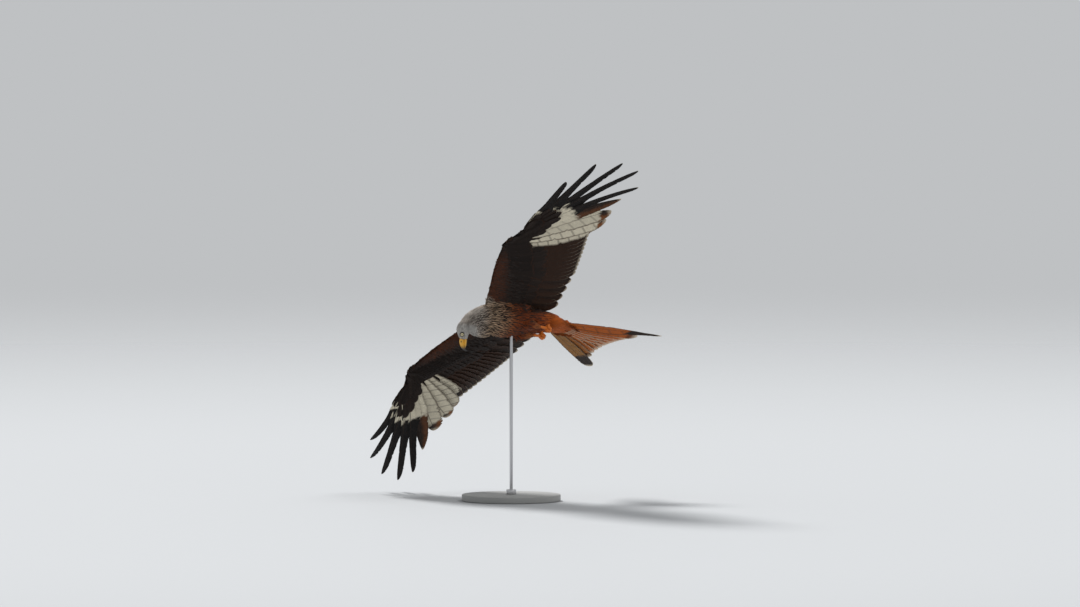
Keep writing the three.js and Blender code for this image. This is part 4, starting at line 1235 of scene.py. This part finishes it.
def coat_piece(name, chosen, rows, columns, point_at):
    points, normals, directions = roots[chosen], root_normals[chosen], root_ways[chosen]
    length, half, lift, _ = (values[chosen] for values in sizes)
    count = len(points)
    length = length * draw.uniform(*SIZE_SPREAD, count)
    middles, ups, ways = lines_on_skin(points, normals, directions, length, rows, flat_laid[chosen])
    part = np.linspace(0, 1, rows)
    across = np.linspace(-1, 1, columns)
    sides = np.cross(ups, ways)
    shape = np.sin(np.pi * np.clip(part * 0.80 + 0.12, 0, 1)) ** 0.6
    shape = shape * np.clip((1 - part) / (1 - point_at), 0.02, 1) ** 0.75
    reach = half[:, None, None] * shape[None, :, None] * across * draw.uniform(*SIZE_SPREAD, (count, rows, 1))
    rise = lift[:, None] * draw.uniform(*LIFT_SPREAD, (count, 1)) * part**0.8
    droop = -DROOP * np.abs(reach) * np.abs(across)
    skew = draw.normal(0, SKEW, (count, 1)) * part * length[:, None]
    height = rise[..., None] + droop
    bare = middles[:, :, None] + sides[:, :, None] * (reach + skew[..., None])[..., None]
    upper = bare + ups[:, :, None] * (height + HALF_THICK)[..., None]
    lower = bare + ups[:, :, None] * (height - HALF_THICK)[..., None]
    ground, mark, rim, streak = (values[chosen] for values in markings)
    tone = draw.uniform(*TONE_SPREAD, (count, 1))
    barb = part[None, :, None] * length[:, None, None] - np.abs(reach)
    barb = barb / (BARB_PITCH * COAT_BARB_PITCH)
    traits = vane_traits(part, across, barb, draw.random((count, 1, 1)))
    for key, colour, width in (
        ("ground", ground * tone, np.zeros(count)),
        ("mark", mark, streak * draw.uniform(*STREAK_SPREAD, count)),
        ("rim", rim, np.full(count, COAT_RIM)),
    ):
        traits[key] = np.repeat(with_width(colour, width)[:, None], rows * columns, 1)
    uv = unwrap(points, normals)[:, None, None, :] + 0.0015 * np.stack(
        np.broadcast_arrays(across[None, None, :], (2 * part - 1)[None, :, None]), -1
    )
    return vane_mesh(name, upper, lower, traits, np.broadcast_to(uv, (*barb.shape, 2)).reshape(count, -1, 2))


# Markings of a small feather: dark streak along the shaft, widening and fading towards the tip.
def coat_material():
    material, tree, shader = finish_material("body_feathers", 0.7, 0.12)
    shader.inputs["Sheen Weight"].default_value = 0.04
    shader.inputs["Sheen Roughness"].default_value = 0.5
    ground = node(tree, "Attribute", attribute_name="ground")
    mark = node(tree, "Attribute", attribute_name="mark")
    across = maths(tree, "ABSOLUTE", trait(tree, "across"))
    widening = maths(tree, "MULTIPLY_ADD", trait(tree, "along"), 0.6, 0.75)
    width = maths(tree, "MULTIPLY", mark.outputs["Alpha"], widening)
    streak = ramp(tree, maths(tree, "SUBTRACT", width, across), -0.12, 0.06)
    streak = maths(tree, "MULTIPLY", streak, ramp(tree, mark.outputs["Alpha"], 0.0, 0.05))
    base = mix(tree, streak, ground.outputs["Color"], mark.outputs["Color"])
    barbs(tree, base, 0.4, 1.0, shader, 0.0004)
    return material


seeds = skin_samples(COAT_SEEDS)
_, seed_normals, _ = nearest_on_skin(seeds)
kept = spaced(seeds, feather_sizes(seeds)[3])
roots, root_normals = seeds[kept], seed_normals[kept]
_, face_place = head_share(roots)
bare_face = (face_place[:, 0] > BARE_FACE_FROM) & (np.linalg.norm(face_place, axis=1) < 0.05)
near_eye = np.linalg.norm(to_left(face_place) - EYE_AT, axis=1)
stands_out = (lie(roots) * root_normals).sum(1) > np.where(roots[:, 0] < RUMP_END, STEEP_RUMP, STEEP)
open_ground = ~bare_face & (near_eye > EYE_CLEAR) & ~stands_out
roots, root_normals = roots[open_ground], root_normals[open_ground]
sizes = feather_sizes(roots)
flat_laid = (wing_share(roots, head_share(roots)[0]) > MOSTLY_WING) & (chord_part(roots) > 0.5)
calm = np.where(roots[:, :1] < RUMP_END, RUMP_CALM, 1)
root_ways = lie(roots) + draw.normal(0, WAYWARD, roots.shape) * calm
into = (root_ways * root_normals).sum(1)[:, None]
root_ways = unit(root_ways - root_normals * into * np.where(flat_laid, FLAT_LAY, 1)[:, None])
flat_laid = flat_laid | (roots[:, 0] < RUMP_END)
markings = plumage(roots, root_normals)
crown, _ = head_share(roots)
leg = leg_share(roots) > 0.5
wing_side = wing_share(roots, crown) > MOSTLY_WING
neck = (roots[:, 0] > NECK_FROM) & ~wing_side & (crown < 0.5)
body = ~wing_side & ~neck & (crown < 0.5) & ~leg
faces_down = root_normals[:, 2] < 0
BODY_FEATHERS = coat_material()
# Which roots, rows and columns of each feather's mesh, and the part of its length where it starts to narrow.
coats = {
    "head_feathers": (crown >= 0.5, 6, 3, 0.55),
    "neck_feathers": (neck, 8, 5, 0.45),
    "belly_feathers": (body & faces_down, 8, 5, 0.7),
    "back_feathers": (body & ~faces_down, 8, 5, 0.75),
    "shank_feathers": (leg & ~wing_side, 7, 3, 0.5),
}
for name, side in SIDES.items():
    on_wing = wing_side & (roots[:, 1] * side > 0)
    coats["wing_" + name + "_under"] = (on_wing & faces_down, *WING_FEATHER_GRID)
    coats["wing_" + name + "_upper"] = (on_wing & ~faces_down, *WING_FEATHER_GRID)
for label, (chosen, rows, columns, point_at) in coats.items():
    settle(coat_piece(label, np.flatnonzero(chosen), rows, columns, point_at), BODY_FEATHERS)
settle(skin, down_material)


# Bill: horn in two halves, the upper one hooked over the lower, with a bare yellow cere and its nostrils,
# their insides painted dark as shade in the holes.
BILL_UPPER = np.array([
    (0.021, 0.0010, 0.0072, 0.0056),
    (0.028, 0.0012, 0.0090, 0.0073),
    (0.034, 0.0012, 0.0089, 0.0078),
    (0.040, 0.0002, 0.0076, 0.0072),
    (0.0465, -0.0018, 0.0061, 0.0063),
    (0.0525, -0.0050, 0.0046, 0.0050),
    (0.0570, -0.0096, 0.0031, 0.0036),
    (0.0596, -0.0146, 0.0019, 0.0022),
    (0.0604, -0.0194, 0.0005, 0.0005),
])
BILL_LOWER = np.array([
    (0.021, -0.0076, 0.0066, 0.0034),
    (0.028, -0.0086, 0.0081, 0.0043),
    (0.036, -0.0092, 0.0071, 0.0041),
    (0.044, -0.0098, 0.0054, 0.0035),
    (0.0505, -0.0099, 0.0034, 0.0026),
    (0.0535, -0.0096, 0.0013, 0.0012),
])
NOSTRIL_AT = np.array([0.0345, 0.0086, 0.0034])
NOSTRIL_SIZE = (0.0025, 0.0016, 0.0011)
NOSTRIL_SLANT = math.radians(35)
NOSTRIL_TURN = np.array(Matrix.Rotation(-NOSTRIL_SLANT, 3, "Y"))
CERE_END = 0.0405
HORN_FADE = (0.004, 0.020)
CERE_YELLOW = (0.78, 0.40, 0.03, 1)
HORN_GREY = (0.022, 0.020, 0.020, 1)
# Near black painted into each nostril hole as its shade.
NOSTRIL_SHADE_DARK = (0.03, 0.015, 0.006, 1)
BILL_STATIONS = 44
BILL_SIDES = 36


def head_piece(piece):
    piece.data.transform(Matrix(HEAD.tolist()))
    return piece


def bill_half(name, stations):
    at = np.linspace(0, len(stations) - 1, BILL_STATIONS)
    middle = np.stack([between(stations[:, 0], at), 0 * at, between(stations[:, 1], at)], 1)
    along = unit(np.gradient(middle, axis=0))
    sideways = np.repeat([LEFTWARD], len(at), 0)
    wide, high = (np.maximum(between(stations[:, k], at), 0.0003) for k in (2, 3))
    return loft(name, rings(middle, sideways, np.cross(along, sideways), wide, high, high, BILL_SIDES))


def bill_material(name, cere_end):
    material, tree, shader = finish_material(name, 0.32)
    shader.inputs["Coat Weight"].default_value = 0.25
    grain = noise(tree, 420.0, 4.0)
    wander = maths(tree, "MULTIPLY_ADD", grain, 0.004, trait(tree, "out_along"))
    horn = ramp(tree, wander, cere_end + HORN_FADE[0], cere_end + HORN_FADE[1])
    base = mix(tree, horn, CERE_YELLOW, HORN_GREY)
    # Painted shade: the walls of the nostril holes turn dark.
    base = mix(tree, trait(tree, "shaded_hollow"), base, NOSTRIL_SHADE_DARK)
    tinted = scaled(tree, base, maths(tree, "MULTIPLY_ADD", grain, 0.4, 0.8))
    feed(tree, shader.inputs["Base Color"], tinted)
    emboss(tree, shader, grain, 0.0003, 0.4)
    return material


def cut_away(piece, tool):
    apply_modifier(piece, "BOOLEAN", object=tool, operation="DIFFERENCE", solver="EXACT")
    bpy.data.objects.remove(tool)


upper_bill = bill_half("bill_upper_horn", BILL_UPPER)
for side in (1, -1):
    bpy.ops.mesh.primitive_uv_sphere_add(segments=20, ring_count=12, radius=1)
    nostril = bpy.context.object
    turn = Matrix.Rotation(NOSTRIL_SLANT, 4, "Y")
    place = Matrix.Translation(Vector(NOSTRIL_AT * [1, side, 1]))
    nostril.data.transform(place @ turn @ Matrix.Diagonal((*NOSTRIL_SIZE, 1)))
    nostril.select_set(False)
    cut_away(upper_bill, nostril)
lower_bill = bill_half("bill_lower_horn", BILL_LOWER)
for piece, node_name, cere_end in (
    (upper_bill, "bill_upper", CERE_END),
    (lower_bill, "bill_lower", CERE_END - 0.002),
):
    spots = read_points(piece.data)
    number(piece.data, "out_along", spots[:, 0])
    # Points on the walls of the nostril holes, painted dark as shade.
    hole = (to_left(spots) - NOSTRIL_AT) @ NOSTRIL_TURN.T / NOSTRIL_SIZE
    number(piece.data, "shaded_hollow", np.linalg.norm(hole, axis=1) < 1.04)
    settle(head_piece(piece), bill_material(node_name + "_finish", cere_end))
    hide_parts(node_name)


# Eyes: pale cream iris with a dark ring and a round black pupil, under a wet clear surface.
EYE_RADIUS = 0.0066
PUPIL = 0.95
IRIS = 0.74
IRIS_DARK = (0.80, 0.66, 0.34, 1)
IRIS_LIGHT = (0.92, 0.84, 0.56, 1)
PUPIL_BLACK = (0.006, 0.005, 0.005, 1)
EYE_TURN = math.radians(14)
LID_RING = 0.0058
LID_THICK = 0.0008
LID_OUT = 0.0036
LID_SHAPE = (0.94, 1.06, 0.9, 1)
LID_GREY = (0.04, 0.032, 0.026, 1)
LID_BLACK = (0.016, 0.013, 0.011, 1)


def eye_material():
    material, tree, shader = finish_material("eye", 0.12, 0.2)
    shader.inputs["Coat Weight"].default_value = 0.5
    shader.inputs["Coat Roughness"].default_value = 0.03
    facing = trait(tree, "facing")
    iris = mix(tree, noise(tree, 900.0, 3.0), IRIS_DARK, IRIS_LIGHT)
    outer_ring = ramp(tree, facing, IRIS + 0.03, IRIS)
    pupil = ramp(tree, facing, PUPIL - 0.006, PUPIL)
    base = mix(tree, maths(tree, "MAXIMUM", outer_ring, pupil), iris, PUPIL_BLACK)
    feed(tree, shader.inputs["Base Color"], base)
    return material


# A plain finish in two tones that fine noise mixes.
def speckled(name, roughness, scale, first, second):
    material, tree, shader = finish_material(name, roughness)
    feed(tree, shader.inputs["Base Color"], mix(tree, noise(tree, scale), first, second))
    return material


EYE = eye_material()
LID_SKIN = speckled("lid_skin", 0.6, 600.0, LID_GREY, LID_BLACK)

for name, side in SIDES.items():
    bpy.ops.mesh.primitive_uv_sphere_add(segments=48, ring_count=32, radius=EYE_RADIUS)
    eye = bpy.context.object
    eye.name = "eyeball_" + name
    gaze = np.array([math.sin(EYE_TURN), side * math.cos(EYE_TURN), 0])
    spots = read_points(eye.data)
    number(eye.data, "facing", spots @ gaze / EYE_RADIUS)
    eye.data.transform(Matrix.Translation(Vector(EYE_AT * [1, side, 1])))
    eye.select_set(False)
    settle(head_piece(eye), EYE)
    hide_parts("eye_" + name)
    bpy.ops.mesh.primitive_torus_add(
        major_radius=LID_RING, minor_radius=LID_THICK, major_segments=56, minor_segments=16
    )
    lid = bpy.context.object
    lid.name = "lids_" + name
    aim = Vector(gaze).to_track_quat("Z", "X").to_matrix().to_4x4()
    opening = EYE_AT * [1, side, 1] + gaze * LID_OUT
    lid.data.transform(Matrix.Translation(Vector(opening)) @ aim @ Matrix.Diagonal(LID_SHAPE))
    lid.select_set(False)
    settle(head_piece(lid), LID_SKIN)


# Feet: bare orange-yellow tarsus and toes clenched to a fist, each toe ending in a curved black claw.
TARSUS_PARTS = np.array([0.55, 0.7, 0.87, 0.96])
TARSUS_RADII = np.array([0.0044, 0.0040, 0.0046, 0.0054])
TOES = [
    {"side": -0.0065, "curl": 0.0082, "start": 75, "sweep": -235, "thick": 0.0036},
    {"side": 0.0005, "curl": 0.0096, "start": 80, "sweep": -240, "thick": 0.0039},
    {"side": 0.0070, "curl": 0.0076, "start": 75, "sweep": -225, "thick": 0.0034},
    {"side": -0.0010, "curl": 0.0068, "start": 60, "sweep": 170, "thick": 0.0037},
]
CLAW_FROM = 0.78
TOE_BEYOND = 0.05
CLAW_SINK = 0.03
TARSUS_STATIONS = 20
TOE_STATIONS = 26
CLAW_STATIONS = 16
TOE_SIDES = 18
TOE_JOINTS = 3
TOE_SWELL = 0.09
TOE_THINNING = 0.2
TOE_ROUNDING = 0.08
CLAW_ROOT = 0.62
SCALE_GAP = (0.50, 0.11, 0.009, 1)
SCALE_ORANGE = (0.84, 0.21, 0.016, 1)
CLAW_BLACK = (0.010, 0.009, 0.009, 1)
CLAW_GREY = (0.045, 0.038, 0.034, 1)


def foot_material():
    material, tree, shader = finish_material("foot_scales", 0.5)
    place = node(tree, "TexCoord").outputs["Object"]
    scales = node(tree, "TexVoronoi", {"Vector": place, "Scale": 820.0}, feature="DISTANCE_TO_EDGE")
    gap = ramp(tree, scales.outputs["Distance"], 0.0, 0.14)
    feed(tree, shader.inputs["Base Color"], mix(tree, gap, SCALE_GAP, SCALE_ORANGE))
    emboss(tree, shader, gap, 0.0005, 0.7)
    return material


def toe_rings(name, toe, low, high, count, slim):
    part = np.linspace(low, high, count)
    turn = np.radians(toe["start"] + toe["sweep"] * part)
    spoke = np.stack([np.cos(turn), 0 * turn, np.sin(turn)], 1)
    centre = FIST_AT[name] + np.array([0, toe["side"] * SIDES[name], 0]) + spoke * toe["curl"]
    joints = 1 + TOE_SWELL * np.cos(part * (2 * TOE_JOINTS) * math.pi)
    radius = toe["thick"] * (1 - TOE_THINNING * part) * joints * slim(part)
    sideways = np.repeat([LEFTWARD], count, 0)
    return rings(centre, spoke, sideways, radius, radius, radius, TOE_SIDES)


# Thickness along a toe and along a claw, as parts of the toe's own.
def toe_end(part):
    return np.sqrt(np.clip((CLAW_FROM + TOE_BEYOND - part) / TOE_ROUNDING, 0.01, 1))


def claw_taper(part):
    return CLAW_ROOT * np.clip((1.0 - part) / (1 - CLAW_FROM + CLAW_SINK), 0.03, 1) ** 0.8


FOOT = foot_material()
CLAW = speckled("claw_horn", 0.25, 500.0, CLAW_BLACK, CLAW_GREY)
for name in SIDES:
    pieces = [leg_tube("tarsus_", name, TARSUS_PARTS, TARSUS_RADII, TARSUS_STATIONS, 0)]
    claws = []
    for toe in TOES:
        pieces.append(loft("toe", toe_rings(name, toe, 0, CLAW_FROM + TOE_BEYOND, TOE_STATIONS, toe_end)))
        claw_rings = toe_rings(name, toe, CLAW_FROM - CLAW_SINK, 1.0, CLAW_STATIONS, claw_taper)
        claws.append(loft("claw", claw_rings))
    for group, label, material in ((pieces, "foot_scaled_", FOOT), (claws, "claws_", CLAW)):
        made = join(group, label + name)
        made.select_set(False)
        settle(made, material)
    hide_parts("foot_" + name)

covered = ["torso", "neck", "head", "tail", "leg_left", "leg_right"]
covered += ["wing_" + name + part for name in SIDES for part in ("_arm", "_hand")]
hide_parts(*covered)


# Display stand: a heavy round base painted matte grey, and one steel rod in a turned collar.
BASE_RADIUS = 0.150
BASE_HEIGHT = 0.020
BASE_EDGE = 0.003
ROD_RADIUS = 0.005
COLLAR_RADIUS = 0.015
COLLAR_HEIGHT = 0.014
ROD_SINK = 0.012
ROD_GAP = 0.0003
ROD_EDGE = 0.0005
COLLAR_EDGE = 0.002
PAINT_DARK = (0.27, 0.27, 0.26, 1)
PAINT_LIGHT = (0.33, 0.33, 0.32, 1)
STEEL_DARK = (0.50, 0.50, 0.51, 1)
STEEL_LIGHT = (0.68, 0.68, 0.69, 1)
rod_low = BASE_HEIGHT + ROD_GAP
rod_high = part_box("stand_rod")[1].z + ROD_SINK


def paint_material():
    material, tree, shader = finish_material("grey_paint", 0.55)
    worn = noise(tree, 14.0, 5.0)
    feed(tree, shader.inputs["Base Color"], mix(tree, worn, PAINT_DARK, PAINT_LIGHT))
    feed(tree, shader.inputs["Roughness"], maths(tree, "MULTIPLY_ADD", worn, 0.2, 0.45))
    emboss(tree, shader, noise(tree, 260.0), 0.0002, 0.3)
    return material


def steel_material():
    material, tree, shader = finish_material("brushed_steel", 0.32)
    shader.inputs["Metallic"].default_value = 1.0
    place = node(tree, "TexCoord").outputs["Object"]
    drawn = node(tree, "Mapping", {"Vector": place, "Scale": (900.0, 900.0, 14.0)})
    grooves = {"Vector": drawn.outputs["Vector"], "Scale": 1.0, "Detail": 3.0}
    lines = node(tree, "TexNoise", grooves).outputs["Fac"]
    feed(tree, shader.inputs["Base Color"], mix(tree, lines, STEEL_DARK, STEEL_LIGHT))
    feed(tree, shader.inputs["Roughness"], maths(tree, "MULTIPLY_ADD", lines, 0.2, 0.24))
    return material


def bevelled_cylinder(name, radius, low, high, bevel, sides):
    bpy.ops.mesh.primitive_cylinder_add(vertices=sides, radius=radius, depth=high - low)
    made = bpy.context.object
    made.name = name
    made.data.transform(Matrix.Translation((0, 0, (low + high) / 2)))
    apply_modifier(made, "BEVEL", width=bevel, segments=4, limit_method="ANGLE")
    made.select_set(False)
    return made


PAINT = paint_material()
STEEL = steel_material()
base = bevelled_cylinder("base_disc", BASE_RADIUS, 0, BASE_HEIGHT, BASE_EDGE, 128)
settle(base, PAINT, False)
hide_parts("stand_base")
rod = bevelled_cylinder("rod", ROD_RADIUS, rod_low, rod_high, ROD_EDGE, 40)
settle(rod, STEEL, False)
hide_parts("stand_rod")
collar = bevelled_cylinder("collar", COLLAR_RADIUS, rod_low, rod_low + COLLAR_HEIGHT, COLLAR_EDGE, 64)
settle(collar, STEEL, False)


# Studio: a pale floor that fades into an even pale surround, soft light from above and behind, a weak fill.
FLOOR_RADIUS = 14.0
FADE_FROM = 2.5
FLOOR_DROP = -0.0005
FLOOR_GREY = (0.42, 0.43, 0.44, 1)
SURROUND = (0.84, 0.86, 0.88, 1)
SURROUND_STRENGTH = 0.62

bpy.ops.mesh.primitive_circle_add(
    vertices=128, radius=FLOOR_RADIUS, fill_type="NGON", location=(0, 0, FLOOR_DROP)
)
floor = bpy.context.object
floor.name = "studio_floor"
floor.select_set(False)
floor_material, tree, shader = finish_material("studio_floor", 0.7)
shader.inputs["Base Color"].default_value = FLOOR_GREY
spot = node(tree, "VectorMath", {0: node(tree, "TexCoord").outputs["Object"]}, operation="LENGTH")
fade = ramp(tree, spot.outputs["Value"], FLOOR_RADIUS * 0.95, FADE_FROM)
tree.links.new(fade, shader.inputs["Alpha"])
floor.data.materials.append(floor_material)

world = bpy.data.worlds.new("studio")
bpy.context.scene.world = world
bpy.context.scene.view_settings.view_transform = "Standard"
world.use_nodes = True
world.node_tree.nodes["Background"].inputs["Color"].default_value = SURROUND
world.node_tree.nodes["Background"].inputs["Strength"].default_value = SURROUND_STRENGTH

for name, height, turn, softness, strength in (
    ("key_light", 50, -150, 16, 3.6),
    ("fill_light", 52, 62, 14, 0.6),
):
    bpy.ops.object.light_add(type="SUN", rotation=(math.radians(90 - height), 0, math.radians(turn)))
    lamp = bpy.context.object
    lamp.name = name
    lamp.data.angle = math.radians(softness)
    lamp.data.energy = strength
    lamp.select_set(False)

# Camera: level with the bird and a long way off, as the photo is taken, the bird a little left of the middle.
PHOTO_SIZE = (1080, 607)
BIRD_IN_PHOTO = (516.2, 321.0)
PIXELS_PER_METRE = 329.5
CAMERA_AWAY = 40.0
CAMERA_TILT = math.radians(3)
SENSOR_WIDE = 36
SEE_FAR = 200
frame_wide = PHOTO_SIZE[0] / PIXELS_PER_METRE
look_right = (PHOTO_SIZE[0] / 2 - BIRD_IN_PHOTO[0]) / PIXELS_PER_METRE
look_down = (PHOTO_SIZE[1] / 2 - BIRD_IN_PHOTO[1]) / PIXELS_PER_METRE
view = Vector((0, math.cos(CAMERA_TILT), -math.sin(CAMERA_TILT)))
upright = Vector((0, math.sin(CAMERA_TILT), math.cos(CAMERA_TILT)))
target = BIRD_AT + Vector((look_right, 0, 0)) - upright * look_down
bpy.ops.object.camera_add(location=target - view * CAMERA_AWAY)
camera = bpy.context.object
camera.rotation_euler = view.to_track_quat("-Z", "Y").to_euler()
camera.data.sensor_width = SENSOR_WIDE
camera.data.lens = SENSOR_WIDE * CAMERA_AWAY / frame_wide
camera.data.clip_end = SEE_FAR
bpy.context.scene.camera = camera
